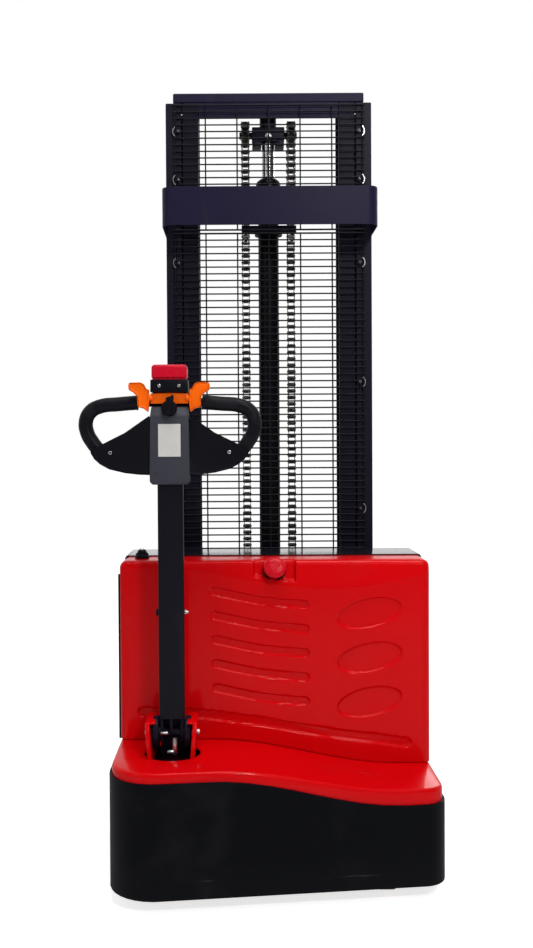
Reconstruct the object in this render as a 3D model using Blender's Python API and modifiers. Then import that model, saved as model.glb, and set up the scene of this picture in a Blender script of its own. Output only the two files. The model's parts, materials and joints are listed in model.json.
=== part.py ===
"""Walkie stacker with a two-stage mast, forks over base legs and an offset tiller.

Metres, +Z up. The operator stands on the -Y side and the forks point along +Y.
The origin is on the floor, under the middle of the whole machine.
"""
import math

import bmesh
import bpy
from mathutils import Matrix, Vector

# Driving dimensions
OVERALL_LENGTH = 1.940
OVERALL_WIDTH = 0.800
CLOSED_HEIGHT = 2.080
GAP = 0.0003                    # between pieces that touch

# Forks and base legs
FORK_LENGTH = 1.150
FORK_SPREAD = 0.570             # over both forks
FORK_WIDTH = 0.160
FORK_TOP = 0.090                # lowered
FORK_PLATE = 0.010
FORK_WALL = 0.006
FORK_SKIRT = 0.045              # height of the channel walls' lower edge
FORK_NOSE = 0.070
SHANK_THICKNESS = 0.034
SHANK_TOP = 0.500
LEG_WIDTH = 0.110
LEG_BOTTOM = 0.020
LEG_TOP = 0.070
LEG_TIP_CLEARANCE = 0.015
LOAD_ROLLER_RADIUS = 0.036
LOAD_ROLLER_WIDTH = 0.070
LOAD_ROLLER_SETBACK = 0.055     # axle to the leg's tip
AXLE_RADIUS = 0.010

# Mast
OUTER_WIDTH = 0.587
OUTER_DEPTH = 0.110
OUTER_FLANGE = 0.045
INNER_DEPTH = 0.100
INNER_FLANGE = 0.0465
RAIL_WALL = 0.008
RAIL_CLEARANCE = 0.002
TOP_CAP_HEIGHT = 0.028
TOP_CAP_OVERHANG = 0.026        # past the inner rails' webs
MAST_ROLLER_HEIGHT = 0.160
ROLLER_CLEARANCE = 0.0005
ROLLER_STUB_RADIUS = 0.012
BAND_DROP = 0.405               # below the closed height, to its lower edge
BAND_HEIGHT = 0.105
BAND_STANDOFF = 0.131           # ahead of the mast's back face
BAND_THICKNESS = 0.003
BAND_CORNER = 0.030
BAND_REACH = 0.074              # along the channels
GUARD_INSET = 0.020             # inside the outer rails
GUARD_DROP = 0.035              # below the closed height
GUARD_SPLIT_RISE = 0.006        # above the band's lower edge
GUARD_BOTTOM = 0.700
GUARD_THICKNESS = 0.005
GUARD_COLUMN = 0.090
GUARD_ROW = 0.0955
GUARD_WIRE = 0.005

# Lift cylinder and chains
CYLINDER_RADIUS = 0.030
CYLINDER_BORE = 0.024
CYLINDER_DROP = 0.242           # below the closed height
CYLINDER_FLOOR = 0.030
GLAND_RADIUS = 0.036
GLAND_HEIGHT = 0.024
ROD_RADIUS = 0.018
PISTON_HEIGHT = 0.040
PISTON_REST = 0.060             # above the cylinder's foot
CROSSHEAD_WIDTH = 0.094
CROSSHEAD_HEIGHT = 0.040
CROSSHEAD_DEPTH = 0.052
CROSSHEAD_DROP = 0.127          # below the closed height
CROSSHEAD_POST = 0.049
CHAIN_SPACING = 0.1326
CHAIN_WIDTH = 0.016
CHAIN_THICKNESS = 0.012
CHAIN_WHEEL_PITCH_RADIUS = 0.035
CHAIN_WHEEL_WIDTH = 0.018
ANCHOR_RISE = 0.007             # above the band's lower edge
ANCHOR_HEIGHT = 0.020
ANCHOR_DEPTH = 0.022

# Carriage
CARRIAGE_PLATE = 0.016
CARRIAGE_SIDE = 0.014
CARRIAGE_BOTTOM = 0.100
CARRIAGE_BAR = 0.100
CARRIAGE_MAST_CLEARANCE = 0.0137
CARRIAGE_ROLLERS = {"lower": 0.160, "upper": 0.440}

# Frame inside the body
TRAY_BOTTOM = 0.100
TRAY_PLATE = 0.008
WALL_PLATE = 0.010
FRAME_INSET = 0.015             # inside the skirt's side
WALL_SETBACK = 0.0425           # behind the body cover's face
BULKHEAD_PLATE = 0.016
BULKHEAD_TOP = 0.600
FRAME_BOTTOM = 0.035
FRAME_SIDE_TOP = 0.200
WELD = 0.001                    # each plate ends this far inside the next
SLEW_PLATE_SIDE = 0.120         # from the tiller's axis
SLEW_PLATE_FRONT = 0.080
CASTER_PLATE_HALF = 0.075

# Battery, hydraulics and drive controller
ENERGY_MARGIN = 0.060           # behind the body cover's face
BATTERY_SPAN = (-0.070, 0.350)
BATTERY_TOP = 0.450
TANK_SPAN = (-0.360, -0.220)
TANK_TOP = 0.330
PUMP_X = -0.145
PUMP_RADIUS = 0.050
PUMP_TOP = 0.290
PUMP_NECK_TOP = 0.330
CONTROLLER_SPAN = (-0.330, -0.130)
CONTROLLER_HEIGHTS = (0.450, 0.650)
CONTROLLER_DEPTH = 0.040

# Body shells
DECK_DEPTH = 0.2775             # skirt's furthest point to the body cover
DECK_LEFT = 0.325
DECK_RIGHT = 0.262
DECK_CURVE_START = -0.150
DECK_CURVE_END = 0.300
SKIRT_BOTTOM = 0.034
SKIRT_TOP_LEFT = 0.302
SKIRT_TOP_RIGHT = 0.2265
SKIRT_THICKNESS = 0.006
SKIRT_REAR_CORNER = 0.110       # plan radius, left
SKIRT_RIGHT_CORNER = 0.060      # plan radius, right
FRONT_SLOPE = 0.116             # the front runs this much forwards per metre
DECK_THICKNESS = 0.004
DECK_TUCK = 0.012               # the deck's rim behind the skirt
DECK_ROUNDING = 0.008
COVER_INSET = 0.0055            # inside the skirt's side
COVER_TOP = 0.780
COVER_REACH = 0.120
COVER_THICKNESS = 0.004
COVER_ROUNDING = 0.018
COVER_SEAT = 0.0015             # over the curved deck
HOUSING_CLEARANCE_SIDE = 0.0005   # inside the skirt's wall
HOUSING_TOP = 0.787
HOUSING_BOTTOM = 0.240
HOUSING_THICKNESS = 0.003
HOUSING_CLEARANCE = 0.041       # to the mast's back face

# Drive and tiller
TILLER_INSET = 0.1455           # from the skirt's left side
TILLER_Y = 0.170                # from the skirt's furthest point
DECK_HOLE_RADIUS = 0.068
SLEW_PLATE_BOTTOM = 0.276
SLEW_PLATE_THICKNESS = 0.008
SPINDLE_RADIUS = 0.030
SPINDLE_CLEARANCE = 0.0005
DRIVE_WHEEL_RADIUS = 0.120
DRIVE_WHEEL_WIDTH = 0.068
GEARBOX_OFFSET = 0.040
GEARBOX_THICKNESS = 0.035
MOTOR_RADIUS = 0.052
MOTOR_LENGTH = 0.050
BRACKET_WIDTH = 0.125
BRACKET_EAR = 0.012
BRACKET_EAR_DEPTH = 0.044
BRACKET_BASE = 0.0097
BRACKET_BASE_RADIUS = 0.062
BRACKET_HEIGHT = 0.410
PIVOT_HEIGHT = 0.375
PIVOT_RADIUS = 0.008
ARM_WIDTH = 0.062
ARM_DEPTH = 0.038
ARM_TOP = 0.985
ARM_WALL = 0.004

# Tiller head, measured from the arm's centre line
HEAD_WIDTH = 0.094
HEAD_FRONT = 0.034
HEAD_SPLIT = 0.0045
HEAD_BACK = 0.028
HEAD_HEIGHT = 0.184
COLLAR_WIDTH = 0.0784
COLLAR_RISE = 0.265             # above the arm's top
COLLAR_FRONT = 0.0267
COLLAR_BACK = 0.0217
WING_SPAN = 0.370
WING_SHOULDER = 0.023           # where a wing starts to round off
GRIP_RADIUS = 0.018
GRIP_REACH = 0.2075
GRIP_BEND = 0.040
GRIP_END = 0.107                # above the arm's top
GRIP_RISE = 0.191
BAR_RADIUS = 0.011
BAR_LENGTH = 0.036              # outside the collar
BUTTON_RISE = 0.2447
BUTTON_HEIGHT = 0.0393
BUTTON_WALL = 0.0029
BUTTON_CLEARANCE = 0.0004
THROTTLE_RISE = 0.204
THROTTLE_Y = 0.024              # ahead of the arm's centre line
THROTTLE_HALF = 0.013           # half the middle plate's height
PADDLE_START = 0.048
PADDLE_END = 0.0975
PADDLE_UP = 0.032
PADDLE_DOWN = 0.033
KNOB_RISE = 0.172
KNOB_RADIUS = 0.020
KNOB_LENGTH = 0.016

# Caster
CASTER_INSET = 0.140            # from the skirt's right side
CASTER_SETBACK = 0.10344        # behind the skirt's sloping front
CASTER_TRAIL = 0.030
CASTER_RADIUS = 0.0625
CASTER_WIDTH = 0.045
CASTER_PLATE_BOTTOM = 0.176

# Controls on the body
ESTOP_HEIGHT = 0.762
ESTOP_TILT = math.radians(25)
ESTOP_RADIUS = 0.0285
POCKET_WIDTH = 0.112
POCKET_BOTTOM = 0.7205
POCKET_TOP = 0.772
KEY_INSET = 0.0515              # from the cover's left side
KEY_Y = 0.350                   # from the skirt's furthest point
KEY_RADIUS = 0.019

# Worked out from the above
REAR_Y = -OVERALL_LENGTH / 2
TIP_Y = OVERALL_LENGTH / 2
HEEL_Y = TIP_Y - FORK_LENGTH
SHANK_Y = HEEL_Y - SHANK_THICKNESS
CARRIAGE_FRONT_Y = SHANK_Y - GAP
CARRIAGE_BACK_Y = CARRIAGE_FRONT_Y - CARRIAGE_PLATE
MAST_FRONT_Y = CARRIAGE_BACK_Y - CARRIAGE_MAST_CLEARANCE
MAST_BACK_Y = MAST_FRONT_Y - OUTER_DEPTH
MAST_Y = (MAST_FRONT_Y + MAST_BACK_Y) / 2
COVER_Y = REAR_Y + DECK_DEPTH
HOUSING_BACK_Y = MAST_BACK_Y - HOUSING_CLEARANCE
HOUSING_FRONT_Y = COVER_Y + COVER_REACH + GAP
COVER_WIDTH = OVERALL_WIDTH - 2 * COVER_INSET
HOUSING_WIDTH = OVERALL_WIDTH - 2 * (SKIRT_THICKNESS + HOUSING_CLEARANCE_SIDE)
FORK_X = (FORK_SPREAD - FORK_WIDTH) / 2
OUTER_WEB_X = OUTER_WIDTH / 2 - RAIL_WALL
INNER_WEB_X = OUTER_WIDTH / 2 - OUTER_FLANGE - RAIL_CLEARANCE      # outside of the web
INNER_TIP_X = INNER_WEB_X - INNER_FLANGE
SILL_TOP = LEG_TOP
TRAY_TOP = TRAY_BOTTOM + TRAY_PLATE
RAIL_FOOT = SILL_TOP + GAP
INNER_FOOT = RAIL_FOOT + 0.015
CAP_BOTTOM = CLOSED_HEIGHT - TOP_CAP_HEIGHT
OUTER_TOP = CAP_BOTTOM - RAIL_CLEARANCE
TOP_CAP_WIDTH = 2 * (INNER_WEB_X + TOP_CAP_OVERHANG)
BAND_BOTTOM = CLOSED_HEIGHT - BAND_DROP
GUARD_WIDTH = OUTER_WIDTH - 2 * GUARD_INSET
GUARD_TOP = CLOSED_HEIGHT - GUARD_DROP
GUARD_SPLIT = BAND_BOTTOM + GUARD_SPLIT_RISE
CYLINDER_TOP = CLOSED_HEIGHT - CYLINDER_DROP
CROSSHEAD_BOTTOM = CLOSED_HEIGHT - CROSSHEAD_DROP
ANCHOR_BOTTOM = BAND_BOTTOM + ANCHOR_RISE
MAST_ROLLER_RADIUS = OUTER_DEPTH / 2 - RAIL_WALL - ROLLER_CLEARANCE
CARRIAGE_ROLLER_RADIUS = INNER_DEPTH / 2 - RAIL_WALL - ROLLER_CLEARANCE
CHAIN_X = CHAIN_SPACING / 2
CHAIN_WHEEL_Z = CROSSHEAD_BOTTOM + CROSSHEAD_HEIGHT / 2
CHAIN_BACK_Y = MAST_Y - CHAIN_WHEEL_PITCH_RADIUS
CHAIN_FRONT_Y = MAST_Y + CHAIN_WHEEL_PITCH_RADIUS
TILLER_X = TILLER_INSET - OVERALL_WIDTH / 2
CASTER_X = OVERALL_WIDTH / 2 - CASTER_INSET
KEY_X = KEY_INSET - COVER_WIDTH / 2
TILLER = Vector((TILLER_X, REAR_Y + TILLER_Y, 0))
CASTER = Vector((CASTER_X, REAR_Y + FRONT_SLOPE * (CASTER_X + OVERALL_WIDTH / 2) + CASTER_SETBACK, 0))
COLLAR_TOP = ARM_TOP + COLLAR_RISE
GRIP_HEIGHT = ARM_TOP + GRIP_RISE
BUTTON_BOTTOM = ARM_TOP + BUTTON_RISE
BUTTON_TOP = BUTTON_BOTTOM + BUTTON_HEIGHT
THROTTLE_HEIGHT = ARM_TOP + THROTTLE_RISE
KNOB_HEIGHT = ARM_TOP + KNOB_RISE
SPINDLE_TOP = SLEW_PLATE_BOTTOM + SLEW_PLATE_THICKNESS + 0.016
SIDE_SHIFT = max(0, GRIP_REACH + GRIP_RADIUS - TILLER_X - OVERALL_WIDTH / 2) / 2
CAVITY_END_Y = TIP_Y - FORK_NOSE + 0.020
LEG_END_Y = CAVITY_END_Y - LEG_TIP_CLEARANCE
SIDES = {"left": -1, "right": 1}

# Colour, roughness and metallic of each finish
FINISHES = {
    "red_gloss": ((0.60, 0.003, 0.006, 1), 0.22, 0.0),
    "black_paint": ((0.012, 0.012, 0.018, 1), 0.38, 0.0),
    "matt_black": ((0.010, 0.010, 0.012, 1), 0.60, 0.0),
    "grey_plastic": ((0.045, 0.050, 0.060, 1), 0.45, 0.0),
    "rubber": ((0.012, 0.012, 0.013, 1), 0.75, 0.0),
    "orange_plastic": ((0.90, 0.16, 0.005, 1), 0.35, 0.0),
    "red_plastic": ((0.45, 0.010, 0.030, 1), 0.30, 0.0),
    "steel": ((0.45, 0.45, 0.46, 1), 0.30, 1.0),
    "chrome": ((0.80, 0.80, 0.82, 1), 0.08, 1.0),
    "chain_steel": ((0.10, 0.09, 0.08, 1), 0.45, 1.0),
    "polyurethane": ((0.55, 0.20, 0.05, 1), 0.50, 0.0),
    "nylon": ((0.55, 0.54, 0.50, 1), 0.50, 0.0),
}

for stale in list(bpy.data.objects):
    bpy.data.objects.remove(stale, do_unlink=True)


def new_collection(name):
    collection = bpy.data.collections.new(name)
    bpy.context.scene.collection.children.link(collection)
    return collection


PARTS = new_collection("walkie_stacker")
CUTTERS = new_collection("cutters")

# Places an outline drawn in X and Y upright: along Y and Z, or along X and Z
ALONG_YZ = Matrix(((0, 0, 1, 0), (1, 0, 0, 0), (0, 1, 0, 0), (0, 0, 0, 1)))
ALONG_XZ = Matrix(((1, 0, 0, 0), (0, 0, -1, 0), (0, 1, 0, 0), (0, 0, 0, 1)))


def shape_object(mesh, name="shape"):
    """A helper shape: left out of the machine unless part() takes it as its body."""
    holder = bpy.data.objects.new(name, mesh)
    holder.hide_render = True
    holder.display_type = "WIRE"
    CUTTERS.objects.link(holder)
    return holder


def mesh_from(bm, name="shape"):
    mesh = bpy.data.meshes.new(name)
    bm.to_mesh(mesh)
    bm.free()
    return mesh


def box(low, high):
    bm = bmesh.new()
    bmesh.ops.create_cube(bm, size=1)
    low, high = Vector(low), Vector(high)
    bmesh.ops.scale(bm, vec=high - low, verts=bm.verts)
    bmesh.ops.translate(bm, vec=(low + high) / 2, verts=bm.verts)
    return shape_object(mesh_from(bm))


def rod(start, end, radius, segments=20):
    start, end = Vector(start), Vector(end)
    axis = end - start
    turn = axis.to_track_quat("Z", "Y").to_matrix().to_4x4()
    bm = bmesh.new()
    bmesh.ops.create_cone(bm, cap_ends=True, segments=segments, radius1=radius, radius2=radius,
                          depth=axis.length, matrix=Matrix.Translation((start + end) / 2) @ turn)
    mesh = mesh_from(bm)
    mesh.shade_smooth()
    mesh.set_sharp_from_angle(angle=math.radians(40))
    return shape_object(mesh)


def turned(profile, origin, axis=(0, 0, 1), steps=24, ring=False):
    """A profile of (radius, height) from top to bottom on the outside, turned about an axis."""
    count = len(profile)
    edges = [(i, (i + 1) % count) for i in range(count if ring else count - 1)]
    mesh = bpy.data.meshes.new("profile")
    mesh.from_pydata([(radius, 0, height) for radius, height in profile], edges, [])
    holder = shape_object(mesh)
    holder.location = origin
    holder.rotation_euler = Vector(axis).to_track_quat("Z", "Y").to_euler()
    screw = holder.modifiers.new("turn", "SCREW")
    screw.steps = screw.render_steps = steps
    screw.use_merge_vertices = True
    screw.merge_threshold = 0.0001
    return holder


def curve_mesh(curve, matrix):
    holder = bpy.data.objects.new("curve", curve)
    CUTTERS.objects.link(holder)
    graph = bpy.context.evaluated_depsgraph_get()
    mesh = bpy.data.meshes.new_from_object(holder.evaluated_get(graph), depsgraph=graph)
    bpy.data.objects.remove(holder, do_unlink=True)
    bm = bmesh.new()
    bm.from_mesh(mesh)
    bmesh.ops.transform(bm, matrix=matrix, verts=bm.verts)
    bmesh.ops.remove_doubles(bm, verts=bm.verts, dist=0.00001)
    bmesh.ops.recalc_face_normals(bm, faces=bm.faces)
    bm.to_mesh(mesh)
    bm.free()
    return shape_object(mesh)


def outline(points, thickness, matrix):
    """A flat closed outline, centred on its plane."""
    curve = bpy.data.curves.new("outline", "CURVE")
    curve.dimensions = "2D"
    curve.fill_mode = "BOTH"
    curve.extrude = thickness / 2
    spline = curve.splines.new("POLY")
    spline.points.add(len(points) - 1)
    for point, (x, y) in zip(spline.points, points):
        point.co = (x, y, 0, 1)
    spline.use_cyclic_u = True
    return curve_mesh(curve, matrix)


def tube(points, radius):
    curve = bpy.data.curves.new("tube", "CURVE")
    curve.dimensions = "3D"
    curve.bevel_depth = radius
    curve.bevel_resolution = 2
    curve.use_fill_caps = True
    spline = curve.splines.new("POLY")
    spline.points.add(len(points) - 1)
    for point, place in zip(spline.points, points):
        point.co = (*place, 1)
    return curve_mesh(curve, Matrix.Identity(4))


def arc(centre, radius, first, last, count):
    """Points on an arc, angles in degrees."""
    angles = [math.radians(first + (last - first) * i / (count - 1)) for i in range(count)]
    return [(centre[0] + radius * math.cos(a), centre[1] + radius * math.sin(a)) for a in angles]


def shell(holder, thickness, rounding=0.0, segments=2, offset=-1):
    """Rounds an open surface's folds, then gives it a wall."""
    if rounding:
        bevel = holder.modifiers.new("rounding", "BEVEL")
        bevel.width = rounding
        bevel.segments = segments
        bevel.limit_method = "ANGLE"
        bevel.angle_limit = math.radians(50)
    wall = holder.modifiers.new("wall", "SOLIDIFY")
    wall.thickness = thickness
    wall.offset = offset
    wall.use_even_offset = True
    return holder


def rounded(holder, width, segments=2):
    bevel = holder.modifiers.new("rounding", "BEVEL")
    bevel.width = width
    bevel.segments = segments
    bevel.limit_method = "ANGLE"
    bevel.angle_limit = math.radians(50)
    return holder


def part(name, finish, body, add=(), cut=(), origin=None):
    """Makes one named piece out of a body shape, shapes joined to it and shapes cut from it."""
    body.name = name
    body.data.name = name
    body.hide_render = False
    body.display_type = "TEXTURED"
    CUTTERS.objects.unlink(body)
    PARTS.objects.link(body)
    for operation, shapes in (("UNION", add), ("DIFFERENCE", cut)):
        for shape in shapes:
            boolean = body.modifiers.new(operation.lower(), "BOOLEAN")
            boolean.operation = operation
            boolean.object = shape
    if origin is not None:
        shift = Vector(origin) - body.location
        body.data.transform(Matrix.Translation(-shift))
        body.location = Vector(origin)
    colour, roughness, metallic = FINISHES[finish]
    material = bpy.data.materials.new(name + "_" + finish)
    material.use_nodes = True
    shader = material.node_tree.nodes["Principled BSDF"]
    shader.inputs["Base Color"].default_value = colour
    shader.inputs["Roughness"].default_value = roughness
    shader.inputs["Metallic"].default_value = metallic
    material.diffuse_color = colour
    body.data.materials.append(material)
    return body


def sided_box(side, inner, outer, y_range, z_range):
    """A box from its distances to the middle plane, on one side of it."""
    low, high = sorted((side * inner, side * outer))
    return box((low, y_range[0], z_range[0]), (high, y_range[1], z_range[1]))


def smoothstep(x):
    share = min(max((x - DECK_CURVE_START) / (DECK_CURVE_END - DECK_CURVE_START), 0), 1)
    return share * share * (3 - 2 * share)


def deck_height(x):
    return DECK_LEFT + (DECK_RIGHT - DECK_LEFT) * smoothstep(x)


def skirt_height(x):
    return SKIRT_TOP_LEFT + (SKIRT_TOP_RIGHT - SKIRT_TOP_LEFT) * smoothstep(x)


def front_path(inset, straight=12, corner=9):
    """The plan of the operator's end, from the left corner to the right one."""
    half = OVERALL_WIDTH / 2
    slope = math.atan(FRONT_SLOPE)
    tangent = 270 + math.degrees(slope)
    left = Vector((-half + SKIRT_REAR_CORNER, REAR_Y + SKIRT_REAR_CORNER))
    touch = left + SKIRT_REAR_CORNER * Vector((math.sin(slope), -math.cos(slope)))
    right_x = half - SKIRT_RIGHT_CORNER
    right_y = touch.y + (right_x - touch.x) * FRONT_SLOPE + SKIRT_RIGHT_CORNER / math.cos(slope)
    first = arc(left, SKIRT_REAR_CORNER - inset, 180, 270, corner)
    first += arc(left, SKIRT_REAR_CORNER - inset, 270, tangent, 2)[1:]
    last = arc((right_x, right_y), SKIRT_RIGHT_CORNER - inset, tangent, 360, corner)
    start, end = Vector(first[-1]), Vector(last[0])
    middle = [tuple(start.lerp(end, i / straight)) for i in range(1, straight)]
    return first + middle + last


def strip(path, bottom, top):
    """A standing strip along a plan path, between two heights that may vary along X."""
    bm = bmesh.new()
    lower = [bm.verts.new((x, y, bottom(x))) for x, y in path]
    edges = [bm.edges.new(pair) for pair in zip(lower, lower[1:])]
    raised = bmesh.ops.extrude_edge_only(bm, edges=edges)
    for vert in (item for item in raised["geom"] if isinstance(item, bmesh.types.BMVert)):
        vert.co.z = top(vert.co.x)
    return shape_object(mesh_from(bm))


def chassis():
    """The welded frame inside the body, its base legs and the load rollers."""
    rail_x = OVERALL_WIDTH / 2 - FRAME_INSET
    wall_y = COVER_Y + WALL_SETBACK
    wall_back = wall_y + WALL_PLATE
    bulkhead_back = MAST_BACK_Y - BULKHEAD_PLATE
    tray = box((-rail_x, wall_y, TRAY_BOTTOM), (rail_x, bulkhead_back + 2 * WELD, TRAY_TOP))
    slew_top = SLEW_PLATE_BOTTOM + SLEW_PLATE_THICKNESS
    caster_top = CASTER_PLATE_BOTTOM + SLEW_PLATE_THICKNESS
    tiller_x, tiller_y = TILLER.x, TILLER.y
    caster_x, caster_y = CASTER.x, CASTER.y
    pieces = [
        box((-rail_x, bulkhead_back, FRAME_BOTTOM), (rail_x, MAST_BACK_Y - GAP, BULKHEAD_TOP)),
        box((-rail_x + WELD, wall_y + WELD, TRAY_BOTTOM + WELD),
            (rail_x - WELD, wall_back, caster_top - WELD)),
        box((-rail_x + 2 * WELD, wall_y + 2 * WELD, TRAY_BOTTOM + 2 * WELD),
            (tiller_x + SLEW_PLATE_SIDE + 0.020, wall_back - WELD, slew_top - WELD)),
        box((-rail_x + 3 * WELD, tiller_y - SLEW_PLATE_FRONT, SLEW_PLATE_BOTTOM),
            (tiller_x + SLEW_PLATE_SIDE, wall_back - 2 * WELD, slew_top)),
        box((caster_x - CASTER_PLATE_HALF, caster_y - CASTER_PLATE_HALF, CASTER_PLATE_BOTTOM),
            (rail_x - 2 * WELD, wall_back - WELD, caster_top)),
    ]
    for side in SIDES.values():
        pieces.append(sided_box(side, rail_x - WALL_PLATE, rail_x - WELD / 2,
                                (wall_y + 3 * WELD, bulkhead_back + 3 * WELD),
                                (FRAME_BOTTOM + WELD, FRAME_SIDE_TOP)))
    sill_front = MAST_FRONT_Y + 0.004
    pieces.append(box((-OUTER_WIDTH / 2, MAST_BACK_Y - 0.010, FRAME_BOTTOM + WELD),
                      (OUTER_WIDTH / 2, sill_front, SILL_TOP)))
    hole = rod((tiller_x, tiller_y, 0.2), (tiller_x, tiller_y, 0.4), SPINDLE_RADIUS + SPINDLE_CLEARANCE, 32)
    swivel = rod((caster_x, caster_y, 0.1), (caster_x, caster_y, 0.3), 0.0105, 24)
    part("base_frame", "black_paint", tray, add=pieces, cut=[hole, swivel])

    axle_y = LEG_END_Y - LOAD_ROLLER_SETBACK
    slot_half = LOAD_ROLLER_WIDTH / 2 + 0.001
    for word, side in SIDES.items():
        middle = side * FORK_X
        half = LEG_WIDTH / 2
        leg = rounded(box((middle - half, sill_front + GAP, LEG_BOTTOM),
                          (middle + half, LEG_END_Y, LEG_TOP)), 0.004, 1)
        reach = LOAD_ROLLER_RADIUS + 0.005
        slot = box((middle - slot_half, axle_y - reach, 0), (middle + slot_half, axle_y + reach, 0.2))
        pin = rod((middle - half + 0.004, axle_y, LOAD_ROLLER_RADIUS),
                  (middle + half - 0.004, axle_y, LOAD_ROLLER_RADIUS), AXLE_RADIUS)
        leg_part = part("leg_" + word, "black_paint", leg, cut=[slot])
        axle = leg_part.modifiers.new("axle", "BOOLEAN")
        axle.operation = "UNION"
        axle.object = pin
        width = LOAD_ROLLER_WIDTH / 2
        profile = [(LOAD_ROLLER_RADIUS - 0.003, width), (LOAD_ROLLER_RADIUS, width - 0.003),
                   (LOAD_ROLLER_RADIUS, 0.003 - width), (LOAD_ROLLER_RADIUS - 0.003, -width),
                   (AXLE_RADIUS + GAP, -width), (AXLE_RADIUS + GAP, width)]
        part("load_roller_" + word, "polyurethane",
             turned(profile, (middle, axle_y, LOAD_ROLLER_RADIUS), (1, 0, 0), ring=True))


def body_shells():
    """The skirt, the deck over it, the front cover and the housing behind it."""
    half = OVERALL_WIDTH / 2
    side_end = HOUSING_BACK_Y
    outer = [(-half, side_end)] + front_path(0) + [(half, side_end)]
    skirt = strip(outer, lambda x: SKIRT_BOTTOM, skirt_height)
    part("skirt", "matt_black", shell(skirt, SKIRT_THICKNESS, offset=1))

    # The deck is a sheet whose height varies along X, with a rim rolled down behind the skirt
    inset = SKIRT_THICKNESS + GAP
    deck_back = COVER_Y + COVER_ROUNDING
    path = front_path(inset + DECK_ROUNDING)
    bm = bmesh.new()
    bmesh.ops.create_grid(bm, x_segments=len(path) - 1, y_segments=1, size=1)
    columns = sorted(bm.verts, key=lambda v: (round(v.co.x, 4), v.co.y))
    for i, (x, y) in enumerate(path):
        front, back = columns[2 * i], columns[2 * i + 1]
        front.co = (x, y, deck_height(x))
        back.co = (x, deck_back, deck_height(x))
    loop = [columns[1]] + [columns[2 * i] for i in range(len(path))] + [columns[-1]]
    for angle in (30, 60, 90, None):
        out = DECK_ROUNDING * (1 - math.sin(math.radians(angle or 90)))
        drop = DECK_ROUNDING * (1 - math.cos(math.radians(angle or 90)))
        edges = [bm.edges.get(pair) for pair in zip(loop, loop[1:])]
        fresh = bmesh.ops.extrude_edge_only(bm, edges=edges)["geom"]
        fresh = {tuple(item.co): item for item in fresh if isinstance(item, bmesh.types.BMVert)}
        loop = [fresh[tuple(vert.co)] for vert in loop]
        plan = front_path(inset + out)
        plan = [(plan[0][0], deck_back)] + plan + [(plan[-1][0], deck_back)]
        for vert, (x, y) in zip(loop, plan):
            height = deck_height(x) - drop if angle else skirt_height(x) - DECK_TUCK
            vert.co = (x, y, height)
    bmesh.ops.recalc_face_normals(bm, faces=bm.faces)
    deck = shape_object(mesh_from(bm))
    hole = rod((TILLER.x, TILLER.y, 0.2), (TILLER.x, TILLER.y, 0.5), DECK_HOLE_RADIUS, 32)
    part("deck_cover", "red_gloss", shell(deck, DECK_THICKNESS), cut=[hole])

    # The cover is a front wall whose lower edge follows the deck, folded back at its top and sides
    cover_half = COVER_WIDTH / 2
    count = 13
    bm = bmesh.new()
    bmesh.ops.create_grid(bm, x_segments=count - 1, y_segments=1, size=1)
    columns = sorted(bm.verts, key=lambda v: (round(v.co.x, 4), v.co.y))
    for i in range(count):
        x = -cover_half + COVER_WIDTH * i / (count - 1)
        lower, upper = columns[2 * i], columns[2 * i + 1]
        lower.co = (x, COVER_Y, deck_height(x) + COVER_SEAT)
        upper.co = (x, COVER_Y, COVER_TOP)
    folds = [e for e in bm.edges if e.is_boundary
             and (all(v.co.z > COVER_TOP - 0.0001 for v in e.verts)
                  or all(abs(v.co.x) > cover_half - 0.0001 for v in e.verts))]
    fold = bmesh.ops.extrude_edge_only(bm, edges=folds)
    for vert in (item for item in fold["geom"] if isinstance(item, bmesh.types.BMVert)):
        vert.co.y = COVER_Y + COVER_REACH
    bmesh.ops.recalc_face_normals(bm, faces=bm.faces)
    cover = shape_object(mesh_from(bm))
    pocket = box((-POCKET_WIDTH / 2, COVER_Y - 0.01, POCKET_BOTTOM),
                 (POCKET_WIDTH / 2, COVER_Y + 0.02, POCKET_TOP))
    part("body_cover", "red_gloss", shell(cover, COVER_THICKNESS, COVER_ROUNDING, 3), cut=[pocket])

    # The housing is a box without its front and its bottom
    housing_half = HOUSING_WIDTH / 2
    bm = bmesh.new()
    bmesh.ops.create_cube(bm, size=1)
    low = Vector((-housing_half, HOUSING_FRONT_Y, HOUSING_BOTTOM))
    high = Vector((housing_half, HOUSING_BACK_Y, HOUSING_TOP))
    bmesh.ops.scale(bm, vec=high - low, verts=bm.verts)
    bmesh.ops.translate(bm, vec=(low + high) / 2, verts=bm.verts)
    bmesh.ops.delete(bm, geom=[f for f in bm.faces if f.normal.y < -0.5 or f.normal.z < -0.5],
                     context="FACES")
    housing = shape_object(mesh_from(bm))
    part("rear_housing", "black_paint", shell(housing, HOUSING_THICKNESS, 0.012))


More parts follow.
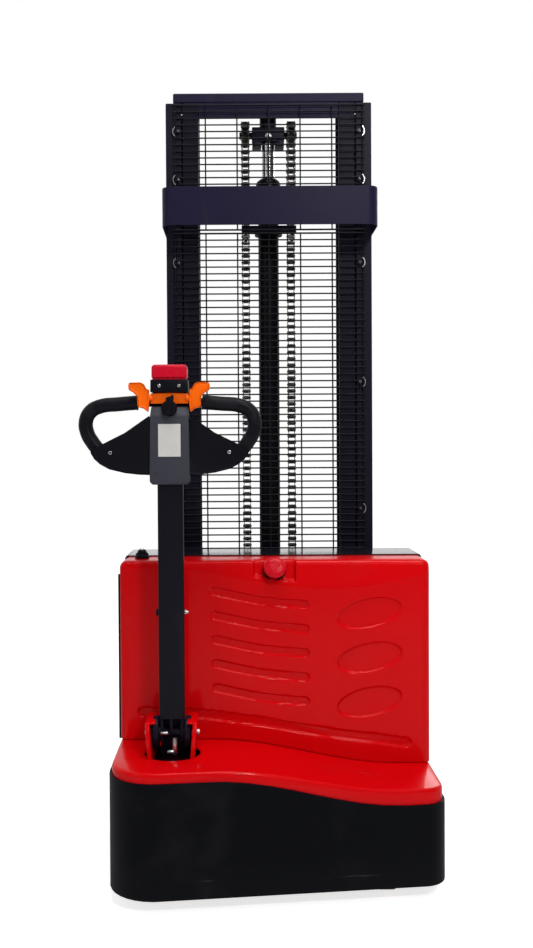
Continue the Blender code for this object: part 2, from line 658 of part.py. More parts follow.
def energy():
    """What the housing holds: the battery, the tank and its pump, and the controller."""
    floor = TRAY_TOP + GAP
    front, back = COVER_Y + ENERGY_MARGIN, HOUSING_BACK_Y - 0.018
    left, right = BATTERY_SPAN
    part("battery", "grey_plastic", rounded(box((left, front, floor), (right, back, BATTERY_TOP)), 0.008))
    left, right = TANK_SPAN
    part("hydraulic_tank", "black_paint",
         rounded(box((left, front, floor), (right, back, TANK_TOP)), 0.012))
    pump_y = (front + back) / 2
    body = rod((PUMP_X, pump_y, floor), (PUMP_X, pump_y, PUMP_TOP), PUMP_RADIUS, 24)
    neck = rod((PUMP_X, pump_y, PUMP_TOP - 0.010), (PUMP_X, pump_y, PUMP_NECK_TOP), PUMP_RADIUS * 0.6, 24)
    link = box((right + GAP, pump_y - 0.020, TRAY_TOP + 0.022),
               (PUMP_X - PUMP_RADIUS + 0.015, pump_y + 0.020, TRAY_TOP + 0.062))
    part("pump_motor", "steel", body, add=[neck, link])
    plate_back = HOUSING_BACK_Y - HOUSING_THICKNESS - GAP
    left, right = CONTROLLER_SPAN
    bottom, top = CONTROLLER_HEIGHTS
    heat_sink = box((left, plate_back - CONTROLLER_DEPTH, bottom), (right, plate_back, top))
    part("drive_controller", "grey_plastic", rounded(heat_sink, 0.005, 1))


def mast():
    """Outer rails, inner rails and what ties each pair together."""
    outer_half = OUTER_WIDTH / 2
    flange_tip = outer_half - OUTER_FLANGE
    inner_back, inner_front = MAST_Y - INNER_DEPTH / 2, MAST_Y + INNER_DEPTH / 2
    for word, side in SIDES.items():
        rail = sided_box(side, flange_tip, outer_half, (MAST_BACK_Y, MAST_FRONT_Y), (RAIL_FOOT, OUTER_TOP))
        hollow = sided_box(side, flange_tip - 0.01, OUTER_WEB_X,
                           (MAST_BACK_Y + RAIL_WALL, MAST_FRONT_Y - RAIL_WALL), (0, CLOSED_HEIGHT))
        part("outer_channel_" + word, "black_paint", rail, cut=[hollow])

        rail = sided_box(side, INNER_TIP_X, INNER_WEB_X, (inner_back, inner_front),
                         (INNER_FOOT, CAP_BOTTOM - GAP))
        hollow = sided_box(side, INNER_TIP_X - 0.01, INNER_WEB_X - RAIL_WALL,
                           (inner_back + RAIL_WALL, inner_front - RAIL_WALL), (0, CLOSED_HEIGHT))
        stub = rod((side * (INNER_WEB_X - 0.002), MAST_Y, MAST_ROLLER_HEIGHT),
                   (side * (OUTER_WEB_X - 0.002), MAST_Y, MAST_ROLLER_HEIGHT), ROLLER_STUB_RADIUS)
        channel = part("inner_channel_" + word, "black_paint", rail, cut=[hollow])
        pin = channel.modifiers.new("stub", "BOOLEAN")
        pin.operation = "UNION"
        pin.object = stub

        middle = (INNER_WEB_X + OUTER_WEB_X) / 2 + 0.0005
        roller(f"mast_roller_{word}", side * middle, MAST_ROLLER_HEIGHT, MAST_ROLLER_RADIUS, 0.028)

    # The bent plate stands behind the operator's view of the rails and returns along their sides
    bend = outer_half + GAP
    band_y = MAST_BACK_Y - BAND_STANDOFF
    corner = bend + BAND_THICKNESS - BAND_CORNER
    left = arc((-corner, band_y + BAND_CORNER), BAND_CORNER, 180, 270, 6)
    right = arc((corner, band_y + BAND_CORNER), BAND_CORNER, 270, 360, 6)
    end_y = MAST_BACK_Y + BAND_REACH
    width = bend + BAND_THICKNESS
    path = [(-width, end_y)] + left + right + [(width, end_y)]
    band = strip(path, lambda x: BAND_BOTTOM, lambda x: BAND_BOTTOM + BAND_HEIGHT)
    part("outer_crossmember", "black_paint", shell(band, BAND_THICKNESS, offset=1))

    cap_half = TOP_CAP_WIDTH / 2
    cap = box((-cap_half, inner_back, CAP_BOTTOM), (cap_half, inner_front, CLOSED_HEIGHT))
    plate = box((-INNER_TIP_X + GAP, inner_back + 0.002, CAP_BOTTOM - 0.042),
                (INNER_TIP_X - GAP, inner_back + 0.012, CAP_BOTTOM + 0.002))
    part("inner_top_crossmember", "black_paint", rounded(cap, 0.003, 1), add=[plate])
    low_bar = box((-INNER_TIP_X + GAP, inner_back, 0.100), (INNER_TIP_X - GAP, inner_back + 0.012, 0.160))
    part("inner_lower_crossmember", "black_paint", low_bar)
    guard("guard_upper", GUARD_SPLIT + GUARD_WIRE, GUARD_TOP)
    guard("guard_lower", GUARD_BOTTOM, GUARD_SPLIT)


def roller(name, x, height, radius, width):
    """A mast or carriage roller with a chamfered tread, on a stub along X."""
    half, chamfer = width / 2, 0.002
    bore = ROLLER_STUB_RADIUS + GAP
    profile = [(radius - chamfer, half), (radius, half - chamfer), (radius, chamfer - half),
               (radius - chamfer, -half), (bore, -half), (bore, half)]
    part(name, "steel", turned(profile, (x, MAST_Y, height), (1, 0, 0), ring=True))


def guard(name, bottom, top):
    """A wire panel: a grid of wires, coarse here, bolted to the rails' back faces."""
    columns = round(GUARD_WIDTH / GUARD_COLUMN)
    rows = max(1, round((top - bottom) / GUARD_ROW))
    bm = bmesh.new()
    bmesh.ops.create_grid(bm, x_segments=columns, y_segments=rows, size=0.5)
    bmesh.ops.scale(bm, vec=(GUARD_WIDTH, top - bottom, 1), verts=bm.verts)
    bmesh.ops.rotate(bm, matrix=Matrix.Rotation(math.radians(90), 3, "X"), verts=bm.verts)
    back = MAST_BACK_Y - GAP
    bmesh.ops.translate(bm, vec=(0, back, (top + bottom) / 2), verts=bm.verts)
    windows = list(bm.faces)
    bmesh.ops.inset_individual(bm, faces=windows, thickness=GUARD_WIRE / 2, use_even_offset=True)
    bmesh.ops.delete(bm, geom=windows, context="FACES")
    panel = shape_object(mesh_from(bm))
    part(name, "black_paint", shell(panel, GUARD_THICKNESS, offset=1))


def lifting_gear():
    """Cylinder, rod, crosshead with its chain wheels, the chains and their lower anchor."""
    foot = RAIL_FOOT
    bore_floor = foot + CYLINDER_FLOOR
    gland_bottom = CYLINDER_TOP - GLAND_HEIGHT
    rod_hole = ROD_RADIUS + GAP
    profile = [(0, bore_floor), (CYLINDER_BORE, bore_floor), (CYLINDER_BORE, gland_bottom),
               (rod_hole, gland_bottom), (rod_hole, CYLINDER_TOP), (GLAND_RADIUS - 0.004, CYLINDER_TOP),
               (GLAND_RADIUS, CYLINDER_TOP - 0.004), (GLAND_RADIUS, gland_bottom - 0.002),
               (CYLINDER_RADIUS, gland_bottom - 0.004), (CYLINDER_RADIUS, foot), (0, foot)]
    part("lift_cylinder", "black_paint", turned(profile, (0, MAST_Y, 0)))
    piston_low = foot + PISTON_REST
    piston_high = piston_low + PISTON_HEIGHT
    piston = CYLINDER_BORE - GAP
    profile = [(0, CROSSHEAD_BOTTOM - GAP), (ROD_RADIUS, CROSSHEAD_BOTTOM - GAP), (ROD_RADIUS, piston_high),
               (piston, piston_high), (piston, piston_low), (0, piston_low)]
    part("piston_rod", "chrome", turned(profile, (0, MAST_Y, 0)))

    head_half = CROSSHEAD_WIDTH / 2
    head_top = CROSSHEAD_BOTTOM + CROSSHEAD_HEIGHT
    head = box((-head_half, MAST_Y - CROSSHEAD_DEPTH / 2, CROSSHEAD_BOTTOM),
               (head_half, MAST_Y + CROSSHEAD_DEPTH / 2, head_top))
    post_half = CROSSHEAD_POST / 2
    post = box((-post_half, MAST_Y - 0.022, head_top - 0.004),
               (post_half, MAST_Y + 0.022, CAP_BOTTOM - GAP))
    axle_reach = CHAIN_X + CHAIN_WHEEL_WIDTH / 2 + 0.008
    axle = rod((-axle_reach, MAST_Y, CHAIN_WHEEL_Z), (axle_reach, MAST_Y, CHAIN_WHEEL_Z), AXLE_RADIUS)
    part("chain_crosshead", "black_paint", rounded(head, 0.002, 1), add=[post, axle])

    clamp_bottom, clamp_top = ANCHOR_BOTTOM, ANCHOR_BOTTOM + ANCHOR_HEIGHT
    anchor_back = MAST_BACK_Y + 0.002
    bar = box((-CHAIN_X - 0.012, anchor_back, clamp_bottom),
              (CHAIN_X + 0.012, anchor_back + ANCHOR_DEPTH, clamp_top))
    ring = rod((0, MAST_Y, clamp_bottom), (0, MAST_Y, clamp_top), CYLINDER_RADIUS + 0.010, 24)
    bore = rod((0, MAST_Y, clamp_bottom - 0.01), (0, MAST_Y, clamp_top + 0.01),
               CYLINDER_RADIUS + 2 * GAP, 24)
    part("chain_anchor_bar", "black_paint", bar, add=[ring], cut=[bore])

    half_width, half_depth = CHAIN_WIDTH / 2, CHAIN_THICKNESS / 2
    wheel_radius = CHAIN_WHEEL_PITCH_RADIUS - half_depth - GAP
    half = CHAIN_WHEEL_WIDTH / 2
    chain_foot = SHANK_TOP + 0.020 + GAP
    for word, side in SIDES.items():
        x = side * CHAIN_X
        profile = [(wheel_radius, half), (wheel_radius, -half), (AXLE_RADIUS + GAP, -half),
                   (AXLE_RADIUS + GAP, half)]
        part("chain_wheel_" + word, "steel",
             turned(profile, (x, MAST_Y, CHAIN_WHEEL_Z), (1, 0, 0), ring=True))
        part("rear_chain_" + word, "chain_steel",
             box((x - half_width, CHAIN_BACK_Y - half_depth, clamp_top + GAP),
                 (x + half_width, CHAIN_BACK_Y + half_depth, CHAIN_WHEEL_Z)))
        part("front_chain_" + word, "chain_steel",
             box((x - half_width, CHAIN_FRONT_Y - half_depth, chain_foot),
                 (x + half_width, CHAIN_FRONT_Y + half_depth, CHAIN_WHEEL_Z)))


def carriage():
    """The lifting carriage on its rollers, and the two forks."""
    side_x = INNER_TIP_X - 0.002
    high_bar = (SHANK_TOP - CARRIAGE_BAR, SHANK_TOP)
    half = FORK_SPREAD / 2
    front_y, back_y = CARRIAGE_FRONT_Y, CARRIAGE_BACK_Y
    low_bar = box((-half, back_y, CARRIAGE_BOTTOM), (half, front_y, CARRIAGE_BOTTOM + CARRIAGE_BAR))
    pieces = [box((-half, back_y, high_bar[0]), (half, front_y, high_bar[1]))]
    for side in SIDES.values():
        pieces.append(sided_box(side, side_x - CARRIAGE_SIDE, side_x, (MAST_Y - 0.032, back_y + 0.002),
                                (CARRIAGE_BOTTOM - 0.004, SHANK_TOP + 0.020)))
        pieces.append(sided_box(side, CHAIN_X - 0.011, CHAIN_X + 0.011, (CHAIN_FRONT_Y - 0.010, front_y),
                                (SHANK_TOP - 0.010, SHANK_TOP + 0.020)))
        for height in CARRIAGE_ROLLERS.values():
            pieces.append(rod((side * (side_x - 0.004), MAST_Y, height),
                              (side * (INNER_WEB_X - RAIL_WALL - 0.002), MAST_Y,
                               height), ROLLER_STUB_RADIUS))
    part("carriage_frame", "black_paint", low_bar, add=pieces)
    roller_width = INNER_WEB_X - RAIL_WALL - INNER_TIP_X - 0.006
    roller_x = (INNER_WEB_X - RAIL_WALL + INNER_TIP_X) / 2
    for place, height in CARRIAGE_ROLLERS.items():
        for word, side in SIDES.items():
            roller(f"carriage_roller_{place}_{word}", side * roller_x, height, CARRIAGE_ROLLER_RADIUS,
                   roller_width)

    under = FORK_TOP - FORK_PLATE
    nose_start = TIP_Y - FORK_NOSE
    profile = [(SHANK_Y, FORK_SKIRT), (TIP_Y - 0.015, FORK_SKIRT), (TIP_Y, FORK_SKIRT + 0.013),
               (TIP_Y - 0.010, FORK_SKIRT + 0.022), (nose_start, FORK_TOP), (HEEL_Y + 0.025, FORK_TOP),
               (HEEL_Y + 0.007, FORK_TOP + 0.007), (HEEL_Y, FORK_TOP + 0.025), (HEEL_Y, SHANK_TOP - 0.010),
               (HEEL_Y - 0.010, SHANK_TOP), (SHANK_Y, SHANK_TOP)]
    for word, side in SIDES.items():
        middle = side * FORK_X
        fork = outline(profile, FORK_WIDTH, Matrix.Translation((middle, 0, 0)) @ ALONG_YZ)
        inner = FORK_WIDTH / 2 - FORK_WALL
        cavity = box((middle - inner, SHANK_Y - 0.01, 0), (middle + inner, CAVITY_END_Y, under))
        part("fork_" + word, "black_paint", fork, cut=[cavity])


def drive():
    """Drive unit and wheel under the deck, and the bracket that the tiller pivots in."""
    x, y = TILLER.x, TILLER.y
    plate_bottom = SLEW_PLATE_BOTTOM - GAP
    flange = rod((x, y, plate_bottom - 0.012), (x, y, plate_bottom), 0.090, 32)
    spindle = rod((x, y, plate_bottom - 0.004), (x, y, SPINDLE_TOP), SPINDLE_RADIUS, 32)
    box_inner, box_outer = x + GEARBOX_OFFSET, x + GEARBOX_OFFSET + GEARBOX_THICKNESS
    gearbox = rounded(box((box_inner, y - 0.055, 0.070), (box_outer, y + 0.055, plate_bottom - 0.004)),
                      0.010, 1)
    motor = rod((box_outer - 0.004, y, 0.175), (box_outer + MOTOR_LENGTH, y, 0.175), MOTOR_RADIUS, 24)
    wheel_half = DRIVE_WHEEL_WIDTH / 2
    hub = rod((x - wheel_half, y, DRIVE_WHEEL_RADIUS), (box_inner + 0.004, y, DRIVE_WHEEL_RADIUS), 0.014)
    part("drive_unit", "steel", flange, add=[spindle, gearbox, motor, hub], origin=(x, y, 0))
    radius, chamfer = DRIVE_WHEEL_RADIUS, 0.006
    profile = [(radius - chamfer, wheel_half), (radius, wheel_half - chamfer),
               (radius, chamfer - wheel_half),
               (radius - chamfer, -wheel_half), (0.0145, -wheel_half), (0.0145, wheel_half)]
    part("drive_wheel", "polyurethane", turned(profile, (x, y, radius), (1, 0, 0), 32, ring=True))

    base_bottom = SPINDLE_TOP + GAP
    base_top = base_bottom + BRACKET_BASE
    half = BRACKET_WIDTH / 2
    base = rod((x, y, base_bottom), (x, y, base_top), BRACKET_BASE_RADIUS, 32)
    ear = BRACKET_EAR_DEPTH / 2
    ears, holes = [], []
    for side in SIDES.values():
        inner, outer = sorted((x + side * (half - BRACKET_EAR), x + side * half))
        ears.append(box((inner, y - ear, base_bottom + 0.002), (outer, y + ear, BRACKET_HEIGHT)))
        tab, tip = sorted((x + side * (half - BRACKET_EAR - 0.008), x + side * half))
        ears.append(box((tab, y - ear, BRACKET_HEIGHT - 0.005), (tip, y + ear, BRACKET_HEIGHT)))
    holes.append(rod((x - 0.1, y, PIVOT_HEIGHT), (x + 0.1, y, PIVOT_HEIGHT), PIVOT_RADIUS + GAP, 20))
    part("tiller_bracket", "red_gloss", base, add=ears, cut=holes, origin=(x, y, 0))
    pin_reach = half + 0.004
    pin = rod((x - pin_reach, y, PIVOT_HEIGHT), (x + pin_reach, y, PIVOT_HEIGHT), PIVOT_RADIUS, 20)
    part("tiller_pivot_pin", "steel", pin, origin=(x, y, PIVOT_HEIGHT))


def tiller():
    """The arm with its return spring, and the head with its grips and controls."""
    x, y = TILLER.x, TILLER.y
    pivot = (x, y, PIVOT_HEIGHT)
    arm_half, arm_depth = ARM_WIDTH / 2, ARM_DEPTH / 2
    arm = box((x - arm_half, y - arm_depth, PIVOT_HEIGHT + 0.012), (x + arm_half, y + arm_depth, ARM_TOP))
    boss = rod((x - arm_half, y, PIVOT_HEIGHT), (x + arm_half, y, PIVOT_HEIGHT), 0.021, 24)
    bore = rod((x - 0.1, y, PIVOT_HEIGHT), (x + 0.1, y, PIVOT_HEIGHT), PIVOT_RADIUS + GAP, 20)
    inside = box((x - arm_half + ARM_WALL, y - arm_depth + ARM_WALL, PIVOT_HEIGHT + 0.040),
                 (x + arm_half - ARM_WALL, y + arm_depth - ARM_WALL, ARM_TOP + 0.01))
    part("tiller_arm", "black_paint", rounded(arm, 0.006), add=[boss], cut=[bore, inside], origin=pivot)
    spring_x = x - (arm_half + BRACKET_WIDTH / 2 - BRACKET_EAR) / 2
    profile = [(0.019, 0.007), (0.019, -0.007), (0.012, -0.007), (0.012, 0.007)]
    part("tiller_spring", "chain_steel",
         turned(profile, (spring_x, y, PIVOT_HEIGHT), (1, 0, 0), 20, ring=True))

    head_bottom = ARM_TOP + GAP
    head_half = HEAD_WIDTH / 2
    split = y - HEAD_SPLIT
    head = box((x - head_half, y - HEAD_FRONT, head_bottom),
               (x + head_half, split - GAP, head_bottom + HEAD_HEIGHT))
    part("head_cover", "grey_plastic", rounded(head, 0.008), origin=pivot)

    # The handle's back half: a pair of wings, a column between them and the collar on top
    wing = WING_SPAN / 2
    collar = COLLAR_WIDTH / 2
    shoulder = wing - WING_SHOULDER
    right = [(collar, COLLAR_TOP - 0.040), (collar, ARM_TOP + 0.165), (0.065, ARM_TOP + 0.140),
             (shoulder, ARM_TOP + 0.092), (wing, ARM_TOP + 0.083), (wing, ARM_TOP + 0.073),
             (shoulder, ARM_TOP + 0.048), (0.120, ARM_TOP + 0.0265), (head_half, ARM_TOP + 0.018),
             (head_half, head_bottom)]
    points = right + [(-px, pz) for px, pz in reversed(right)]
    thickness = HEAD_SPLIT + HEAD_BACK
    place = Matrix.Translation((x, split + thickness / 2, 0)) @ ALONG_XZ
    plate = rounded(outline(points, thickness, place), 0.003, 1)
    collar_block = box((x - collar, y - COLLAR_FRONT, THROTTLE_HEIGHT + THROTTLE_HALF + 0.0045),
                       (x + collar, y + COLLAR_BACK, COLLAR_TOP))
    bar_y = split + thickness / 2
    bars = []
    for side in SIDES.values():
        bars.append(rod((x + side * (collar - 0.004), bar_y, GRIP_HEIGHT),
                        (x + side * (collar + BAR_LENGTH), bar_y, GRIP_HEIGHT), BAR_RADIUS, 16))
    part("handle_housing", "black_paint", plate, add=[collar_block] + bars, origin=pivot)

    # Each grip runs out of the bar, round the corner and down to the wing's tip
    reach = GRIP_REACH
    grip_start = collar + BAR_LENGTH + GAP
    bend = GRIP_BEND
    upper = [(reach - bend + bend * math.cos(a), GRIP_HEIGHT - bend + bend * math.sin(a))
             for a in (math.radians(90 - 22.5 * i) for i in range(6))]
    path = [(grip_start, GRIP_HEIGHT)] + upper + [(wing + GAP + 0.007, ARM_TOP + GRIP_END)]
    for word, side in SIDES.items():
        points = [(x + side * px, bar_y, pz) for px, pz in path]
        part("grip_" + word, "rubber", tube(points, GRIP_RADIUS), origin=pivot)

    # The reversing button is a cap that slides down over the collar
    cap_x = collar + BUTTON_CLEARANCE
    front, back = COLLAR_FRONT + BUTTON_CLEARANCE, COLLAR_BACK + BUTTON_CLEARANCE
    wall = BUTTON_WALL
    cap = box((x - cap_x - wall, y - front - wall, BUTTON_BOTTOM),
              (x + cap_x + wall, y + back + wall, BUTTON_TOP))
    hollow = box((x - cap_x, y - front, BUTTON_BOTTOM - 0.01), (x + cap_x, y + back, COLLAR_TOP + 0.010))
    part("reverse_button", "red_plastic", rounded(cap, 0.005), cut=[hollow], origin=pivot)

    axis_y = y - THROTTLE_Y
    middle_end = PADDLE_START + 0.002
    middle = box((x - middle_end, axis_y - 0.006, THROTTLE_HEIGHT - THROTTLE_HALF),
                 (x + middle_end, axis_y + 0.006, THROTTLE_HEIGHT + THROTTLE_HALF))
    paddles = []
    for side in SIDES.values():
        inner, outer = sorted((x + side * PADDLE_START, x + side * PADDLE_END))
        paddles.append(rounded(box((inner, axis_y - 0.007, THROTTLE_HEIGHT - PADDLE_DOWN),
                                   (outer, axis_y + 0.005, THROTTLE_HEIGHT + PADDLE_UP)), 0.003, 1))
    part("throttle", "orange_plastic", middle, add=paddles, origin=(x, axis_y, THROTTLE_HEIGHT))
    knob_back = y - HEAD_FRONT - GAP
    profile = [(0, KNOB_LENGTH), (KNOB_RADIUS - 0.004, KNOB_LENGTH), (KNOB_RADIUS, KNOB_LENGTH - 0.004),
               (KNOB_RADIUS, 0), (0, 0)]
    part("lift_knob", "matt_black", turned(profile, (x, knob_back, KNOB_HEIGHT), (0, -1, 0)))


def caster():
    x, y = CASTER.x, CASTER.y
    wheel_y = y - CASTER_TRAIL
    top = CASTER_PLATE_BOTTOM - GAP
    crown = box((x - 0.034, y - 0.050, top - 0.012), (x + 0.034, y + 0.034, top))
    pieces = [rod((x, y, top - 0.004), (x, y, top + SLEW_PLATE_THICKNESS + 0.012), 0.010)]
    half = CASTER_WIDTH / 2
    for side in SIDES.values():
        inner, outer = sorted((x + side * (half + 0.002), x + side * (half + 0.008)))
        pieces.append(box((inner, wheel_y - 0.018, CASTER_RADIUS - 0.016),
                          (outer, wheel_y + 0.030, top - 0.004)))
    pieces.append(rod((x - half - 0.006, wheel_y, CASTER_RADIUS),
                      (x + half + 0.006, wheel_y, CASTER_RADIUS), 0.007))
    part("caster_fork", "steel", crown, add=pieces, origin=(x, y, 0))
    radius, chamfer = CASTER_RADIUS, 0.004
    profile = [(radius - chamfer, half), (radius, half - chamfer), (radius, chamfer - half),
               (radius - chamfer, -half), (0.007 + GAP, -half), (0.007 + GAP, half)]
    part("caster_wheel", "polyurethane", turned(profile, (x, wheel_y, radius), (1, 0, 0), ring=True))


def controls():
    """Emergency stop in its pocket and the key switch on top of the cover."""
    out = Vector((0, -math.cos(ESTOP_TILT), math.sin(ESTOP_TILT)))
    head = Vector((0, COVER_Y - 0.010, ESTOP_HEIGHT))
    inside_y = COVER_Y + COVER_THICKNESS + GAP
    floor_y = COVER_Y + COVER_ROUNDING + 0.002
    half = POCKET_WIDTH / 2
    plate = box((-half, floor_y, POCKET_BOTTOM - 0.004), (half, floor_y + 0.004, POCKET_TOP))
    ledge = box((-half, inside_y, POCKET_BOTTOM - 0.004), (half, floor_y + 0.002, POCKET_BOTTOM - GAP))
    collar = rod(head - 0.030 * out, head - GAP * out, 0.010, 24)
    body = rod((0, floor_y, ESTOP_HEIGHT - 0.015), (0, floor_y + 0.035, ESTOP_HEIGHT - 0.015), 0.012, 24)
    part("estop_base", "matt_black", plate, add=[ledge, collar, body])
    profile = [(0, 0.016), (0.012, 0.015), (0.021, 0.012), (ESTOP_RADIUS, 0.004), (ESTOP_RADIUS - 0.003, 0),
               (0.0105, 0), (0.0105, 0.008), (0, 0.008)]
    part("estop_button", "red_plastic", turned(profile, head, out))

    place = (KEY_X, REAR_Y + KEY_Y, COVER_TOP + GAP)
    profile = [(0, 0.014), (0.011, 0.014), (KEY_RADIUS - 0.003, 0.008), (KEY_RADIUS, 0), (0, 0)]
    part("key_switch", "matt_black", turned(profile, place))
    x, y, z = place
    blade_low = z + 0.014 + GAP
    blade = box((x - 0.001, y - 0.004, blade_low), (x + 0.001, y + 0.004, blade_low + 0.012))
    bow = rod((x - 0.0015, y, blade_low + 0.018), (x + 0.0015, y, blade_low + 0.018), 0.010, 16)
    part("key", "steel", blade, add=[bow], origin=(x, y, z))


for build_group in (chassis, body_shells, energy, mast, lifting_gear, carriage, drive, tiller, caster,
                    controls):
    build_group()

# The origin lies under the middle of the whole machine, which the left grip makes wider than its body
for piece in list(PARTS.objects) + list(CUTTERS.objects):
    piece.location.x += SIDE_SHIFT
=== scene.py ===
import json
import math

import bmesh
import bpy
from mathutils import Matrix, Vector

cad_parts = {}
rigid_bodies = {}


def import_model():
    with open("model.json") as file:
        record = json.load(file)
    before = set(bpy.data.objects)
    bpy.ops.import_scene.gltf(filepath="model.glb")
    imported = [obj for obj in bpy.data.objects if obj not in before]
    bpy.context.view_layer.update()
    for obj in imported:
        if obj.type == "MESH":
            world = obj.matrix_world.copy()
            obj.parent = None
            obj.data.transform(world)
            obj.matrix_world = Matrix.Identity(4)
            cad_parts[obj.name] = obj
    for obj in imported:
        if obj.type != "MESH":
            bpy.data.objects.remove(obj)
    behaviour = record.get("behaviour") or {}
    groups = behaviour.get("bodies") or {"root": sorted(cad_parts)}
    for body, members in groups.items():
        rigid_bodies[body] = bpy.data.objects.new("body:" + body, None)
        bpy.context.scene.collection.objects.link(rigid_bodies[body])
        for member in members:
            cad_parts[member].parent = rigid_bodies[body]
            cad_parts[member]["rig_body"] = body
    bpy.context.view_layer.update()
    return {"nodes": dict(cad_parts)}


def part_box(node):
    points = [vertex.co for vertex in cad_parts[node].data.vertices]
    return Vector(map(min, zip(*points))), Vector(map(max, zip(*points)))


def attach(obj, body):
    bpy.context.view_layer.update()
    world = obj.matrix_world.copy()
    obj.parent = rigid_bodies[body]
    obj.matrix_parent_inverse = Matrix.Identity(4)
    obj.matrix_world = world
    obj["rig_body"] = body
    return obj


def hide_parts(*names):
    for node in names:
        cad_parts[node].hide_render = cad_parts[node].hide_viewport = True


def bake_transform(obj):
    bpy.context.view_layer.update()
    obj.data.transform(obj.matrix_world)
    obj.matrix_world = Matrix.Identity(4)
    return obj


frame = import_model()
nodes = frame["nodes"]


class Wire:
    # one socket that takes part in ordinary arithmetic
    def __init__(self, nodes, socket):
        self.nodes = nodes
        self.socket = socket

    def joined(self, operation, first, second):
        return self.nodes.add("ShaderNodeMath", {"operation": operation}, {0: first, 1: second})

    def __add__(self, other):
        return self.joined("ADD", self, other)

    def __radd__(self, other):
        return self.joined("ADD", other, self)

    def __sub__(self, other):
        return self.joined("SUBTRACT", self, other)

    def __rsub__(self, other):
        return self.joined("SUBTRACT", other, self)

    def __mul__(self, other):
        return self.joined("MULTIPLY", self, other)

    def __rmul__(self, other):
        return self.joined("MULTIPLY", other, self)


class Nodes:
    # a node tree, with one way to add a node of any kind
    def __init__(self, owner):
        owner.use_nodes = True
        self.tree = owner.node_tree
        self.tree.nodes.clear()

    def add(self, kind, settings=None, inputs=None, output=0):
        node = self.tree.nodes.new(kind)
        for name, value in (settings or {}).items():
            setattr(node, name, value)
        for name, value in (inputs or {}).items():
            self.connect(node.inputs[name], value)
        return Wire(self, node.outputs[output]) if node.outputs else node

    def connect(self, socket, value):
        if isinstance(value, Wire):
            self.tree.links.new(value.socket, socket)
        else:
            socket.default_value = value

    def between(self, value, low, high, start=0.0, end=1.0):
        return self.add("ShaderNodeMapRange", {"clamp": True, "interpolation_type": "SMOOTHSTEP"},
                        {"Value": value, "From Min": low, "From Max": high, "To Min": start, "To Max": end})


class Finish(Nodes):
    # a material with a Principled surface, and short ways to feed it
    def __init__(self, name, **sockets):
        self.material = bpy.data.materials.new(name)
        super().__init__(self.material)
        surface = self.add("ShaderNodeBsdfPrincipled")
        self.surface = surface.socket.node
        self.add("ShaderNodeOutputMaterial", {}, {"Surface": surface})
        self.place = self.add("ShaderNodeTexCoord", output="Object")
        self.feed(**sockets)

    def feed(self, **sockets):
        for name, value in sockets.items():
            self.connect(self.surface.inputs[socketNames.get(name, name)], value)

    def noise(self, scale, detail=3, stretch=None):
        where = self.place
        if stretch:
            where = self.add("ShaderNodeMapping", {}, {"Vector": where, "Scale": stretch})
        return self.add("ShaderNodeTexNoise", {}, {"Vector": where, "Scale": scale, "Detail": detail})

    def voronoi(self, scale):
        return self.add("ShaderNodeTexVoronoi", {}, {"Vector": self.place, "Scale": scale})

    def height(self):
        return self.add("ShaderNodeSeparateXYZ", {}, {"Vector": self.place}, "Z")

    def blend(self, factor, first, second):
        return self.add("ShaderNodeMix", {"data_type": "RGBA"},
                        {"Factor": factor, 6: first, 7: second}, 2)

    def bump(self, height, distance, strength=1.0):
        return self.add("ShaderNodeBump", {}, {"Height": height, "Distance": distance, "Strength": strength})


socketNames = {"colour": "Base Color", "roughness": "Roughness", "metallic": "Metallic",
               "coat": "Coat Weight", "coatRoughness": "Coat Roughness", "normal": "Normal",
               "specular": "Specular IOR Level"}


def redPaint():
    paint = Finish("redPaint", coat=0.15, coatRoughness=0.03, specular=0.04)
    drift = paint.noise(2.3, 2)
    grime = paint.between(paint.noise(7.0, 6), 0.52, 0.80)
    colour = paint.blend(drift, (0.70, 0.001, 0.003, 1), (0.58, 0.001, 0.003, 1))
    paint.feed(colour=paint.blend(grime * 0.10, colour, (0.22, 0.02, 0.02, 1)))
    paint.feed(roughness=0.20 + paint.noise(30.0, 4) * 0.07 + grime * 0.05)
    paint.feed(normal=paint.bump(paint.noise(420.0, 2), 0.0004, 0.10))    # orange peel
    return paint.material


def blackPaint(name="blackPaint", colour=(0.0078, 0.0062, 0.0150, 1), gloss=0.36):
    paint = Finish(name, specular=0.12)
    scuff = paint.between(paint.noise(24.0, 6, (1, 1, 0.15)), 0.62, 0.74)
    paint.feed(colour=paint.blend(scuff * 0.35, colour, (0.020, 0.019, 0.028, 1)))
    paint.feed(roughness=gloss + paint.noise(60.0, 4) * gloss * 0.4 + scuff * 0.10)
    paint.feed(normal=paint.bump(paint.noise(900.0, 2), 0.0003, 0.20))    # powder coat
    return paint.material


def skirtBlack():
    paint = Finish("skirtBlack", specular=0.05)
    dust = paint.between(paint.noise(9.0, 7), 0.50, 0.78)
    low = paint.between(paint.height(), 0.03, 0.14, 1.0, 0.0)
    scrape = paint.between(paint.noise(16.0, 8, (0.25, 0.25, 3.0)), 0.66, 0.72)
    colour = paint.blend(dust * 0.5 + low * 0.2, (0.0030, 0.0034, 0.0050, 1), (0.012, 0.012, 0.014, 1))
    paint.feed(colour=paint.blend(scrape * low * 0.7, colour, (0.060, 0.058, 0.055, 1)))
    paint.feed(roughness=0.46 + dust * 0.14)
    paint.feed(normal=paint.bump(paint.noise(520.0, 3), 0.0005, 0.35))
    return paint.material


